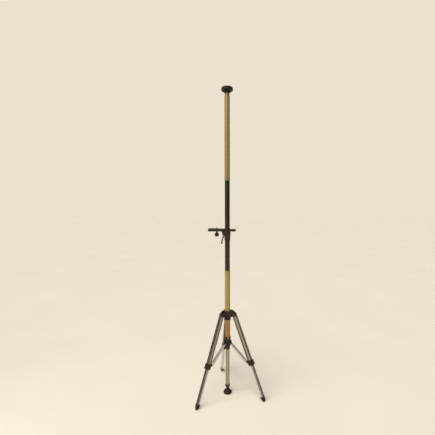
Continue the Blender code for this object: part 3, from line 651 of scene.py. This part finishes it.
def lower_tube_ends():
    """The guide at the silver tube's top stays plain. The foot's socket has a notch towards each leg."""
    keep("lower_tube_guide")
    low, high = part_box("foot_socket")
    wide, neck, bore, floor_z = high.x, 0.0105, 0.0158, 0.0552
    profile = [(0.0, low.z), (neck, low.z), (neck, 0.04, 3.0 * MM), (wide, 0.052, 3.0 * MM)]
    profile += [(wide, high.z, 0.6 * MM), (bore, high.z, 0.4 * MM), (bore, floor_z), (0.0, floor_z)]
    half, above = 6.5 * MM, high.z + 4.0 * MM
    notch = [(0.0, floor_z + 1.3 * MM, 1.5 * MM), (-half, above), (half, above)]
    notches = []
    for name in LEG_NAMES:
        cutter = moved(slab(notch, 0.012), Matrix.Translation((0.0, 0.018, 0.0)))
        notches.append(moved(cutter, radial_frame(f"leg_fold_{name}") @ turn_z(90)))
    dress("foot_socket", solid([turned(profile)], notches))


def pole_foot():
    """A bell of rubber with moulded steps, and a lip where it meets the floor."""
    low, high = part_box("pole_foot")
    radius = high.x
    profile = [(0.0, high.z), (0.0108, high.z, 0.4 * MM), (0.013, 0.029, 2.0 * MM), (0.0168, 0.0238, MM)]
    profile += [(0.018, 0.0236, 0.5 * MM), (0.0206, 0.019, 2.0 * MM), (0.0238, 0.0156, MM)]
    profile += [(0.025, 0.0152, 0.5 * MM), (0.0283, 0.0112, 2.0 * MM), (radius, 0.008, 1.5 * MM)]
    profile += [(radius, 0.0038, 0.5 * MM), (radius - MM, 0.0032), (radius - 0.3 * MM, 0.0024, 0.4 * MM)]
    profile += [(0.0295, low.z, 0.8 * MM), (0.0, low.z)]
    dress("pole_foot", turned(profile))


# -------------------- brace hub
def pin(radius, length, head_radius, head_height):
    """A pin along +Z from 0 to length, with a domed head below 0 and a swaged rim at its far end."""
    swage, swage_top = radius * 1.25, length + 0.7 * MM
    profile = [(0.0, swage_top), (swage, swage_top, 0.6 * MM), (swage, length)]
    profile += [(radius, length), (radius, 0.0), (head_radius, 0.0, 0.2 * MM)]
    profile += [(head_radius, -head_height, head_height * 0.8), (0.0, -head_height)]
    return turned(profile, SMALL_ROUND)


def brace_hub():
    """A ring round the silver tube, with a fin for each brace and a notch in its rim over each fin."""
    crown_top, shoulder, body_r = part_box("brace_hub")[1].z, 0.4212, 0.0245
    waist_r = body_r - 0.8 * MM
    tube_fit, lock_fit, neck_z = 0.0203, 0.0183, 0.386
    ring = [(body_r, crown_top, 0.8 * MM), (body_r, 0.414, 0.5 * MM), (waist_r, 0.413), (waist_r, 0.3935)]
    ring += [(body_r, 0.3925, 0.5 * MM), (body_r, 0.389, 1.5 * MM), (0.0215, neck_z, MM)]
    ring += [(lock_fit, neck_z, 0.5 * MM), (lock_fit, shoulder), (tube_fit, shoulder)]
    ring += [(tube_fit, crown_top, 0.5 * MM)]
    pivot = (BRACE_HUB_R, BRACE_HUB_Z)
    fin = [(0.0195, 0.408), (0.029, 0.4)]
    fin += arc(pivot, 0.0065, 60, -120, 16)
    fin += [(0.0235, 0.362), (0.0205, 0.37), (0.0205, 0.388), (0.0195, 0.388)]
    notch_half, notch_z, above = 7.0 * MM, 0.412, 0.45
    notch = [(-notch_half, notch_z, 2.0 * MM), (notch_half, notch_z, 2.0 * MM)]
    notch += [(notch_half, above), (-notch_half, above)]
    half_pin = 10.3 * MM
    shapes, cuts = [turned(ring)], []
    for name in LEG_NAMES:
        turn = radial_frame(f"brace_fold_{name}")
        shapes.append(moved(slab(fin, 6.0 * MM, 0.9 * MM), turn))
        cuts.append(cross_hole(*pivot, PIVOT_HOLE, turn))
        rim = turn @ turn_z(90) @ Matrix.Translation((0.0, 0.025, 0.0))
        cuts.append(moved(slab(notch, 0.015), rim))
        place = turn @ along((BRACE_HUB_R, -half_pin, BRACE_HUB_Z), (0, 1, 0))
        dress(f"hub_pin_{name}", pin(PIVOT_PIN, 2 * half_pin, 4.2 * MM, 1.4 * MM), place)
    dress("brace_hub", solid(shapes, cuts))
    keep("tube_collet")


def lock_ring():
    """The ring that a hand turns to grip the silver tube, ribbed for the fingers."""
    low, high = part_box("lock_ring")
    radius, bore, grips = high.x, 0.0159, 24
    profile = [(radius, high.z, 0.5 * MM), (radius, high.z - 4.0 * MM, 0.3 * MM)]
    profile += [(radius - 0.3 * MM, high.z - 4.4 * MM), (radius, high.z - 4.8 * MM)]
    profile += [(radius, low.z + 8.0 * MM), (radius - 0.8 * MM, low.z + 1.5 * MM, 2.0 * MM)]
    profile += [(radius - 2.0 * MM, low.z, 0.4 * MM), (bore, low.z, 0.4 * MM), (bore, high.z)]
    ring = turned(profile, grips * 6)
    flute(ring, grips, MM, low.z + 7.0 * MM, high.z - 4.7 * MM, radius - 0.5 * MM)
    dress("lock_ring", ring)


# -------------------- tripod collar
def tripod_collar():
    """The collar that slides on the gold tube: a barrel with two cheeks and a web for each leg.

    Its front is slit, and a screw across the slit pinches the collar and its bush to the tube."""
    bore, barrel_r, inside = 0.0221, 0.0292, 10.4 * MM
    top, bottom = 0.6218, 0.556
    waist_r = barrel_r - 0.7 * MM
    barrel = [(0.0, top), (barrel_r, top, 1.2 * MM), (barrel_r, 0.615, 0.4 * MM), (waist_r, 0.6142)]
    barrel += [(waist_r, 0.585, 2.0 * MM), (0.0266, 0.58, 3.0 * MM), (0.0258, 0.562, 0.4 * MM)]
    barrel += [(0.0263, 0.5612, 0.4 * MM), (0.0263, bottom, 1.2 * MM), (0.0, bottom)]
    cheek = [(0.018, 0.575), (0.042, 0.5835)]
    cheek += arc((HINGE_R, HINGE_Z), 0.0135, -75, 75, 20)
    cheek += [(0.048, 0.621), (0.034, 0.6275, 8.0 * MM), (0.018, 0.6275)]
    web = [(0.0165, 0.573), (0.03, 0.577, 3.0 * MM), (0.0345, 0.59, 6.0 * MM), (0.0345, 0.612, 3.0 * MM)]
    web += [(0.03, 0.619, 3.0 * MM), (0.0165, 0.619)]
    shapes, cuts = [turned(barrel)], [rod(bore, 0.5, 0.7, sides=ROUND)]
    for name in LEG_NAMES:
        turn = radial_frame(f"leg_fold_{name}")
        shapes.append(moved(slab(web, inside + MM), turn))
        for side in (-1, 1):
            shapes.append(moved(slab(cheek, 2.0 * MM, 0.7 * MM, side * (inside + 2.0 * MM)), turn))
            boss = turn @ along((HINGE_R, side * (inside + 3.5 * MM), HINGE_Z), (0, side, 0))
            shapes.append(moved(rod(6.4 * MM, 0.0, 1.3 * MM, 0.4 * MM), boss))
        cuts.append(cross_hole(HINGE_R, HINGE_Z, PIVOT_HOLE, turn, reach=0.03))
        half = inside + 4.9 * MM
        place = turn @ along((HINGE_R, -half, HINGE_Z), (0, 1, 0))
        dress(f"leg_pin_{name}", pin(PIVOT_PIN, 2 * half, 4.5 * MM, 1.8 * MM), place, DARK_STEEL)
    front = turn_z(FRONT)
    slit, slit_in_bush = (moved(block((0.015, -MM, 0.54), (0.04, MM, 0.64)), front) for _ in range(2))
    line, head_y, screw_z = 0.0256, -8.0 * MM, 0.6
    shank = cross_hole(line, screw_z, 2.2 * MM, front, reach=0.03)
    head = moved(rod(3.2 * MM, 0.0, 0.02), front @ along((line, head_y, screw_z), (0, -1, 0)))
    dress("tripod_collar", solid(shapes, [*cuts, slit, shank, head]))
    place = front @ along((line, head_y - GAP, screw_z), (0, 1, 0))
    dress("pinch_screw", cross_screw(1.8 * MM, 0.02, 2.7 * MM, 3.0 * MM), place, DARK_STEEL)
    low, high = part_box("collar_bush")
    sleeve, fit = bore - GAP, 0.0203
    bush = [(sleeve, high.z, 0.6 * MM), (sleeve, bottom - GAP), (0.0235, bottom - GAP)]
    bush += [(0.023, low.z, 0.5 * MM), (fit, low.z, 0.4 * MM), (fit, high.z, 0.4 * MM)]
    dress("collar_bush", solid([turned(bush)], [slit_in_bush]))


# -------------------- legs
# Pivots in a leg's own frame, as (x, z): the brace's on the leg clamp, and the flip lever's.
BRACE_ON_LEG = (-0.031, -0.35)
LOCK_PIVOT = (0.0224, -0.373)


def leg_section(depth, width, wall, lip, opens, flutes):
    """The outline of a leg: a channel with lips that is open on one side, -1 or 1 along X.

    Its closed side and the strip of each flank beside the opening are fluted."""
    x, y, corner = depth / 2, width / 2, 3.0 * MM
    pitch, groove, sink = 2.3 * MM, 1.3 * MM, 0.7 * MM
    flank = [corner + 0.8 * MM + pitch * i for i in range(flutes)]
    back = [width / 2 + offset * pitch for offset in (-1.5, -0.5, 0.5, 1.5)]
    inner = x - wall
    half = fluted_line((-x, -y), (x, -y), flank, groove, sink)
    half[0] = (-x, -y, corner)
    half[-1] = (x, -y, 1.6 * MM)
    across = fluted_line((x, -y), (x, y), back, groove, sink)[1:-1]
    mirrored = [(px, -py, *rest) for px, py, *rest in reversed(half)]
    lip_y = y - wall - lip
    inside = [(-x, lip_y, 0.4 * MM), (-x + wall, lip_y, 0.4 * MM), (-x + wall, y - wall, MM)]
    inside += [(inner, y - wall, 0.8 * MM)]
    inside += [(px, -py, *rest) for px, py, *rest in reversed(inside)]
    outline = rounded(half + across + mirrored + inside)
    return [(-opens * px, py) for px, py in outline]


def upper_leg(name, leg):
    """A channel that opens towards the pole, with its top rounded round the hinge."""
    section = leg_section(33.0 * MM, 20.0 * MM, 1.8 * MM, 2.2 * MM, -1, 4)
    low, high, half, below = -0.372, 0.009, 0.0166, -0.382
    side = [(-half, below), (half, below), (half, high, 14.0 * MM), (-half, high, 8.0 * MM)]
    around = block((-0.05, -0.05, low - 0.02), (0.05, 0.05, high + 0.02))
    outside = solid([around], [slab(side, 0.02)])
    channel = solid([drawn(section, low, high)], [outside, cross_hole(0, 0, PIVOT_HOLE)])
    dress(f"upper_leg_{name}", channel, leg, UPPER_LEG_SHADED_METAL)


def leg_clamp(name, leg):
    """The moulding that grips the lower leg, with an arm for the brace and ears for the flip lever."""
    half_depth, half_width, low, high = 19.0 * MM, 13.0 * MM, -0.3785, -0.3395
    pivot, lever = BRACE_ON_LEG, LOCK_PIVOT
    body = block((-half_depth, -half_width, low), (half_depth, half_width, high), 4.0 * MM, 1.4 * MM)
    arm = [(-0.015, -0.3425), *arc(pivot, 0.0062, 100, 260, 16), (-0.015, -0.368)]
    ear = [(0.015, -0.366), (lever[0], -0.3692), *arc(lever, 0.0036, 80, -80, 12), (0.015, -0.3775)]
    brace_pin = along((pivot[0], 0, pivot[1]), (0, 1, 0))
    shapes = [body, slab(arm, 6.0 * MM, 0.8 * MM)]
    shapes.append(moved(rod(3.0 * MM, -7.8 * MM, 7.8 * MM, 0.4 * MM), brace_pin))
    shapes += [slab(ear, 1.8 * MM, 0.6 * MM, side * 11.2 * MM) for side in (-1, 1)]
    panel = rectangle((-0.014, -0.374), (0.014, -0.344), 2.0 * MM)
    cuts = [slab(panel, 2.0 * MM, 0.0, side * (half_width + 1.2 * MM)) for side in (-1, 1)]
    for z in (-0.3515, -0.359, -0.3665):
        rib = rectangle((-0.0145, z - 0.9 * MM), (0.0145, z + 0.9 * MM))
        shapes.append(slab(rib, half_width - 0.2 * MM))
    upper_x, upper_y = 16.8 * MM, 10.3 * MM
    cuts.append(block((-upper_x, -upper_y, -0.3723), (upper_x, upper_y, -0.3), corner=2.0 * MM))
    lower_x, lower_y = 14.6 * MM, 8.2 * MM
    cuts.append(block((-lower_x, -lower_y, -0.41), (lower_x, lower_y, -0.36), corner=1.5 * MM))
    cuts.append(cross_hole(*lever, 1.9 * MM))
    dress(f"leg_clamp_{name}", solid(shapes, cuts), leg)
    half = 13.0 * MM
    pin_place = leg @ along((lever[0], 0, lever[1]), (0, 1, 0))
    dress(f"lock_pin_{name}", rod(1.6 * MM, -half, half, 0.5 * MM), pin_place)


def lock_lever(name, leg):
    """A flip lever that lies up the clamp, with a thumb tab whose face is ribbed."""
    face = 19.6 * MM
    outline = [*arc(LOCK_PIVOT, 0.0028, -170, -10, 12), (0.024, -0.351, 2.0 * MM)]
    outline += [(0.0264, -0.345, 0.8 * MM), (0.0254, -0.3425, 0.8 * MM), (face, -0.344, 0.8 * MM)]
    grooves = [(0.0252, -0.355 - 2.6 * MM * i) for i in range(4)]
    cuts = [cross_hole(x, z, 0.8 * MM, sides=16) for x, z in grooves]
    cuts.append(cross_hole(*LOCK_PIVOT, 1.9 * MM))
    dress(f"lock_lever_{name}", solid([slab(outline, 9.0 * MM, 0.7 * MM)], cuts), leg)


def lower_leg(name, leg):
    """A channel inside the upper leg that opens outwards."""
    section = leg_section(28.4 * MM, 15.6 * MM, 1.4 * MM, 2.5 * MM, 1, 5)
    dress(f"lower_leg_{name}", drawn(section, -0.612, -0.3), leg, LOWER_LEG_SHADED_METAL)


def leg_foot(name, leg):
    """A rubber boot: a sleeve round the leg that swells into a ball and ends in a flat sole on the floor."""
    sole = -HINGE_Z / math.cos(LEG_TILT) + 0.2 * MM
    # Each ring: its height, half its depth and half its width in mm, its roundness (2 is an ellipse), and how
    # far it has turned from the leg's angle to flat.
    rings = [
        (-0.6085, 12.0, 5.6, 5.0, 0.0), (-0.6075, 14.6, 8.2, 5.0, 0.0), (-0.6073, 16.2, 9.6, 5.0, 0.0),
        (-0.6081, 16.9, 10.3, 5.0, 0.0), (-0.6097, 16.9, 10.3, 5.0, 0.0), (-0.6107, 15.9, 9.6, 5.0, 0.0),
        (-0.6118, 15.9, 10.2, 4.0, 0.05), (-0.6145, 16.0, 11.6, 3.2, 0.15), (-0.6185, 15.6, 12.8, 2.6, 0.3),
        (-0.624, 14.6, 13.0, 2.2, 0.6), (-0.63, 13.2, 12.4, 2.0, 0.85), (-0.635, 11.0, 10.8, 2.0, 1.0),
        (sole, 8.6, 8.6, 2.0, 1.0),
    ]
    sides = 64
    mesh = bmesh.new()
    loops = []
    for height, depth, width, power, flat in rings:
        tip = Matrix.Translation((0.0, 0.0, height)) @ Matrix.Rotation(LEG_TILT * flat, 4, "Y")
        loop = []
        for i in range(sides):
            c, s = math.cos(2 * math.pi * i / sides), math.sin(2 * math.pi * i / sides)
            x = math.copysign(abs(c) ** (2 / power), c) * depth * MM
            y = math.copysign(abs(s) ** (2 / power), s) * width * MM
            loop.append(mesh.verts.new(tip @ Vector((x, y, 0.0))))
        loops.append(loop)
    dress(f"leg_foot_{name}", skin(mesh, loops), leg, sharp=50)


def brace(name, leg):
    """A pressed channel from the hub to a leg clamp, with a groove along its top and two rivet heads."""
    start = Vector(JOINTS[f"brace_fold_{name}"]["pos_m"])
    end = leg @ Vector((BRACE_ON_LEG[0], 0.0, BRACE_ON_LEG[1]))
    length = (end - start).length
    outward = (end - start).normalized()
    across = Vector(JOINTS[f"brace_fold_{name}"]["axis"])
    place = Matrix.Translation(start) @ Matrix((outward, across, outward.cross(across))).transposed().to_4x4()
    half_depth, half_width, wall = 6.5 * MM, 10.0 * MM, 1.5 * MM
    end_r, taper = 5.2 * MM, 0.024
    side = arc((0.0, 0.0), end_r, 95, 265, 20)
    side += [(taper, -half_depth, 0.02), (length - taper, -half_depth, 0.02)]
    side += arc((length, 0.0), end_r, -85, 85, 20)
    side += [(length - taper, half_depth, 0.02), (taper, half_depth, 0.02)]
    inner = half_width - wall
    cuts = [block((-0.05, -inner, -0.02), (length + 0.05, inner, half_depth - wall))]
    cuts.append(block((-0.05, -inner, -MM), (0.013, inner, 0.02)))
    cuts.append(block((length - 0.023, -inner, -MM), (length + 0.05, inner, 0.02)))
    cuts.append(cross_hole(0, 0, PIVOT_HOLE))
    groove_start = (0.03, -2.8 * MM, half_depth - 0.6 * MM)
    groove_end = (length - 0.038, 2.8 * MM, half_depth + MM)
    cuts.append(block(groove_start, groove_end, corner=2.7 * MM))
    shapes = [slab(side, half_width, 0.9 * MM)]
    for y in (9.2 * MM, -9.2 * MM):
        rivet = along((length, y, 0), (0, y, 0))
        shapes.append(moved(rod(4.0 * MM, 0.0, 2.2 * MM, 1.2 * MM), rivet))
    dress(f"brace_{name}", solid(shapes, cuts), place, look=BRACE_METAL)


# -------------------- laser platform
STUD_X = JOINTS["laser_screw_turn"]["pos_m"][0]
LEVER_PIVOT = Vector(JOINTS["clamp_lever_open"]["pos_m"])
KNOB_Z = JOINTS["tension_knob_turn"]["pos_m"][2]
SLOT_HALF = 3.6 * MM  # half the width of the platform's slot
THROUGH_PLATFORM = (1.2, 1.26)  # the heights of a cutter that passes right through
THROUGH_CLAMP = (1.1, 1.3)


def clamp_body():
    """The sleeve on the black tube, with two gussets under the platform and a boss for each screw."""
    low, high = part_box("clamp_body")
    liner_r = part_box("clamp_liner")[1].x
    bore, bottom, top = liner_r + GAP, low.z, high.z
    barrel = [(0.0, top), (0.0254, top, MM), (0.0254, top - 5.5 * MM, 0.4 * MM)]
    barrel += [(0.0248, top - 6.2 * MM, 0.4 * MM), (0.0249, 1.215, 0.04), (0.0236, 1.19, 0.04)]
    barrel += [(0.022, bottom + 5.0 * MM), (0.0227, bottom + 4.2 * MM, 0.4 * MM)]
    barrel += [(0.0227, bottom, 0.9 * MM), (0.0, bottom)]
    pivot = (LEVER_PIVOT.x, LEVER_PIVOT.z)
    gusset = [(-0.012, 1.2386), (-0.062, 1.2386), (-0.062, 1.227), *arc((-0.06, 1.205), 0.022, 85, 0, 14)]
    gusset += arc(pivot, 0.0065, 175, 310, 12) + [(-0.012, 1.19)]
    shapes = [turned(barrel)]
    shapes += [slab(gusset, 1.8 * MM, 0.6 * MM, side * 10.4 * MM) for side in (-1, 1)]
    shapes.append(block((-0.0612, -10.9 * MM, 1.229), (-0.015, 10.9 * MM, 1.2385)))
    to_knob = along((0, 0, KNOB_Z), (1, 0, 0))
    boss = [(0.0, 0.018), (8.0 * MM, 0.018), (8.0 * MM, 0.0302, MM), (0.0, 0.0302)]
    shapes.append(moved(turned(boss, 48), to_knob))
    front_boss = along((0.0, -0.0234, 1.224), (0, -1, 0))
    shapes.append(moved(rod(5.6 * MM, -0.004, 2.6 * MM, 0.6 * MM), front_boss))
    cuts = [rod(bore, *THROUGH_CLAMP, sides=ROUND)]
    cuts.append(moved(rod(3.3 * MM, 0.01, 0.04), to_knob))
    cuts.append(cross_hole(*pivot, 2.3 * MM))
    cuts.append(moved(rod(3.4 * MM, 0.4 * MM, 0.01), front_boss))
    dress("clamp_body", solid(shapes, cuts))
    half = 12.4 * MM
    dress("lever_pin", rod(2.0 * MM, -half, half, 0.6 * MM), along(LEVER_PIVOT, (0, 1, 0)))
    slit = drawn(rectangle((-MM, 0.01), (MM, 0.03)), *THROUGH_CLAMP)
    dress("clamp_liner", solid([tube_mesh("clamp_liner", liner_r - 0.0194)], [slit]))


def platform_slot():
    """A cutter for the slot that the laser's screw stands in."""
    ends = arc((STUD_X - 0.045, 0), SLOT_HALF, 90, 270, 16)
    ends += arc((STUD_X + 0.005, 0), SLOT_HALF, -90, 90, 16)
    return drawn(ends, *THROUGH_PLATFORM)


def platform():
    """A tray turned upside down: rounded rims, a slot along its middle and two ribs under it."""
    low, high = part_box("platform")
    plate, wall, corner = 5.0 * MM, 3.0 * MM, 5.0 * MM
    top = high.z
    body = drawn(rectangle(low, high, corner), low.z, top)
    for height, edge in ((top, 1.8 * MM), (low.z, 0.7 * MM)):
        rim = [e for e in body.edges if all(abs(v.co.z - height) < 1e-6 for v in e.verts)]
        bmesh.ops.bevel(body, geom=rim, offset=edge, segments=4, profile=0.5, affect="EDGES")
    inner = high.y - wall
    pocket = block((low.x + wall, -inner, 1.2), (0.0, inner, top - plate), corner=3.0 * MM)
    tray = solid([body], [pocket])
    shapes = [tray]
    for y in (-0.015, 0.015):
        rib_start = (low.x + 0.002, y - 0.8 * MM, low.z + 6.0 * MM)
        shapes.append(block(rib_start, (-0.064, y + 0.8 * MM, top - MM)))
    dress("platform", solid(shapes, [platform_slot()]))


def platform_mat():
    """A rubber mat with fine ridges along the platform."""
    low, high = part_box("platform_mat")
    ridges, sink = 16, 0.5 * MM
    pitch = (high.y - low.y - 2.0 * MM) / ridges
    places = [MM + pitch * (i + 0.5) for i in range(ridges)]
    top = fluted_line((-high.y, -high.z), (high.y, -high.z), places, 1.2 * MM, sink)
    outline = [(-high.y, -low.z), *top, (high.y, -low.z)]
    mesh = drawn([(y, -z) for y, z in outline], low.x, high.x)
    lie_down = Matrix(((0, 0, 1, 0), (1, 0, 0, 0), (0, 1, 0, 0), (0, 0, 0, 1)))
    dress("platform_mat", solid([moved(mesh, lie_down)], [platform_slot()]))


def clamp_lever():
    """An S-shaped lever with a round cam at its top and four finger grooves near its end."""
    half, pivot = 5.0 * MM, (LEVER_PIVOT.x, LEVER_PIVOT.z)
    middle = [(-0.03, 1.188), (-0.0312, 1.179), (-0.0362, 1.169), (-0.0398, 1.156), (-0.0415, 1.138)]
    bends = (2.0 * MM, 10.0 * MM, 10.0 * MM, 10.0 * MM, 2.0 * MM)
    stem = [(x, z, bend) for (x, z), bend in zip(middle, bends)]
    outline = arc(pivot, 0.0062, 250, -80, 28)
    outline += [(x + half, z, bend) for x, z, bend in stem]
    outline += arc((-0.0418, 1.134), 0.0056, 0, -180, 16)
    outline += [(x - half, z, bend) for x, z, bend in reversed(stem)]
    grooves = [(-0.0469 + 0.2 * i * MM, 1.14 + 4.0 * MM * i) for i in range(4)]
    cuts = [cross_hole(x, z, 1.1 * MM, sides=16) for x, z in grooves]
    cuts.append(cross_hole(*pivot, 2.3 * MM))
    dress("clamp_lever", solid([slab(outline, 8.0 * MM, MM)], cuts))


def tension_knob():
    """A long fluted knob with a rounded end, on the screw that sets the clamp's grip."""
    low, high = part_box("tension_knob")
    radius, grips, bore, floor_x = high.y, 12, 3.4 * MM, 0.0585
    profile = [(0.0, high.x), (6.5 * MM, high.x, MM), (radius, high.x - 4.0 * MM, 4.0 * MM)]
    profile += [(radius, high.x - 9.0 * MM), (radius, low.x + 4.0 * MM), (radius - 0.2 * MM, low.x, 0.8 * MM)]
    profile += [(bore, low.x), (bore, floor_x), (0.0, floor_x)]
    knob = turned(profile, grips * 8)
    flute(knob, grips, 1.3 * MM, low.x + 3.9 * MM, high.x - 8.9 * MM, radius - 0.1 * MM)
    place = along((0, 0, KNOB_Z), (1, 0, 0))
    dress("tension_knob", knob, place)
    low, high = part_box("tension_screw")
    dress("tension_screw", threaded(2.9 * MM, MM, low.x, high.x), place)


def threaded(radius, pitch, low, high, point=0.0):
    """A threaded rod up Z. The thread fades out over the chamfered point at its top."""
    sides, per_turn = 32, 8
    rows = math.ceil((high - low) / pitch * per_turn)
    mesh = bmesh.new()
    rings = []
    for row in range(rows + 1):
        z = low + (high - low) * row / rows
        most = radius - max(0.0, z - (high - point))
        ring = []
        for i in range(sides):
            angle = 2 * math.pi * i / sides
            phase = (z / pitch - i / sides) % 1.0
            crest = radius - 0.6 * pitch * (1 - abs(2 * phase - 1))
            r = min(crest, most)
            ring.append(mesh.verts.new((r * math.cos(angle), r * math.sin(angle), z)))
        rings.append(ring)
    return skin(mesh, rings)


def laser_screw():
    """The washer in the slot, the lobed knob under it, and the threaded stud that the laser screws onto."""
    place = Matrix.Translation((STUD_X, 0.0, 0.0))
    low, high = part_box("slot_washer")
    half_x, half_y = (high.x - low.x) / 2, high.y
    washer = block((-half_x, -half_y, low.z), (half_x, half_y, high.z), corner=1.5 * MM, edge=0.4 * MM)
    dress("slot_washer", solid([washer], [rod(SLOT_HALF, *THROUGH_PLATFORM)]), place)
    low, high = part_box("fixing_knob")
    radius, lobes, neck, bore, floor_z = (high.x - low.x) / 2, 6, 7.0 * MM, 3.5 * MM, 1.195
    profile = [(bore, high.z), (neck, high.z, 0.8 * MM), (neck, 1.2145, 2.0 * MM)]
    profile += [(radius - 2.5 * MM, 1.213, 1.5 * MM), (radius, 1.2095, 1.5 * MM)]
    profile += [(radius, low.z + 4.0 * MM, 1.5 * MM), (radius - 2.0 * MM, low.z, 1.5 * MM)]
    profile += [(0.0, low.z), (0.0, floor_z), (bore, floor_z)]
    knob = turned(profile, lobes * 24)
    flute(knob, lobes, 3.0 * MM, 1.18, 1.2135, 0.011)
    dress("fixing_knob", knob, place)
    low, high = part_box("laser_stud")
    dress("laser_stud", threaded(3.2 * MM, 1.27 * MM, low.z, high.z, point=1.2 * MM), place)


# -------------------- camera, floor and light
def camera():
    """The viewpoint is a little above the platform and level, with the view shifted to frame the pole."""
    viewpoint, roll = (-0.005, -2.116, 1.424), 0.1
    data = bpy.data.cameras.new("camera")
    data.lens, data.sensor_width = 23.02, 36.0
    data.shift_x, data.shift_y = -0.021, -0.0287
    made = in_scene("camera", data)
    made.location = viewpoint
    made.rotation_euler = (math.radians(90), math.radians(roll), 0.0)
    bpy.context.scene.camera = made


def floor():
    """A plain floor as pale as the room behind it, so that the two meet without a line."""
    reach = 30.0
    mesh = bmesh.new()
    bmesh.ops.create_grid(mesh, x_segments=1, y_segments=1, size=reach)
    data = mesh_data("floor", mesh)
    look = Look("pale_floor", 0.8)
    cloud = look.noise(1.5, 4.0)
    look.colour(look.mix(look.span(cloud), (0.89, 0.82, 0.685, 1.0), (0.92, 0.85, 0.715, 1.0)))
    look.set(Specular_IOR_Level=0.1)
    data.materials.append(look.material)
    in_scene("floor", data)


def lamp(kind, name, place, aim, power, colour):
    data = bpy.data.lights.new(name, kind)
    data.energy = power
    data.color = colour
    made = in_scene(name, data)
    made.location = place
    made.rotation_euler = (Vector(aim) - Vector(place)).to_track_quat("-Z", "Y").to_euler()
    made.visible_camera = False
    return data


def light():
    """A broad soft sun from the front left, a tall soft box on the left and a weaker one on the right."""
    key = lamp("SUN", "key", (-1.6, -2.4, 3.4), (0, 0, 0), 2.6, (1.0, 0.97, 0.92))
    key.angle = math.radians(60)
    for name, place, power in (("left_box", (-1.7, -1.0, 1.2), 6.0), ("right_box", (1.9, -1.4, 1.2), 2.0)):
        box = lamp("AREA", name, place, (0, 0, 1.2), power, (1.0, 0.98, 0.95))
        box.shape = "RECTANGLE"
        box.size, box.size_y = 0.5, 2.4


def surroundings():
    """The room: pale behind the object, dimmer in its reflections, and dimmest on the right."""
    world = bpy.data.worlds.new("studio")
    world.use_nodes = True
    tree = world.node_tree
    seen = tree.nodes["Background"]
    seen.inputs["Color"].default_value = (0.82, 0.757, 0.625, 1.0)
    left, right, blend = 0.42, 0.22, 0.15
    reflected = tree.nodes.new("ShaderNodeBackground")
    reflected.inputs["Color"].default_value = (0.95, 0.96, 1.0, 1.0)
    direction = tree.nodes.new("ShaderNodeSeparateXYZ")
    tree.links.new(tree.nodes.new("ShaderNodeTexCoord").outputs["Generated"], direction.inputs[0])
    side = tree.nodes.new("ShaderNodeMapRange")
    for socket, number in zip(side.inputs[1:5], (-blend, blend, left, right)):
        socket.default_value = number
    tree.links.new(direction.outputs[0], side.inputs[0])
    tree.links.new(side.outputs[0], reflected.inputs["Strength"])
    choice = tree.nodes.new("ShaderNodeMixShader")
    tree.links.new(tree.nodes.new("ShaderNodeLightPath").outputs["Is Camera Ray"], choice.inputs[0])
    tree.links.new(reflected.outputs[0], choice.inputs[1])
    tree.links.new(seen.outputs[0], choice.inputs[2])
    tree.links.new(choice.outputs[0], tree.nodes["World Output"].inputs["Surface"])
    bpy.context.scene.world = world
    bpy.context.scene.view_settings.view_transform = "Standard"


def main():
    pole_tubes()
    joint_rings()
    plunger()
    plunger_spring()
    pad_socket()
    ceiling_pad()
    lower_tube_ends()
    pole_foot()
    brace_hub()
    lock_ring()
    tripod_collar()
    for name in LEG_NAMES:
        leg = leg_frame(name)
        upper_leg(name, leg)
        leg_clamp(name, leg)
        lock_lever(name, leg)
        lower_leg(name, leg)
        leg_foot(name, leg)
        brace(name, leg)
    clamp_body()
    platform()
    platform_mat()
    clamp_lever()
    tension_knob()
    laser_screw()
    camera()
    floor()
    light()
    surroundings()


main()
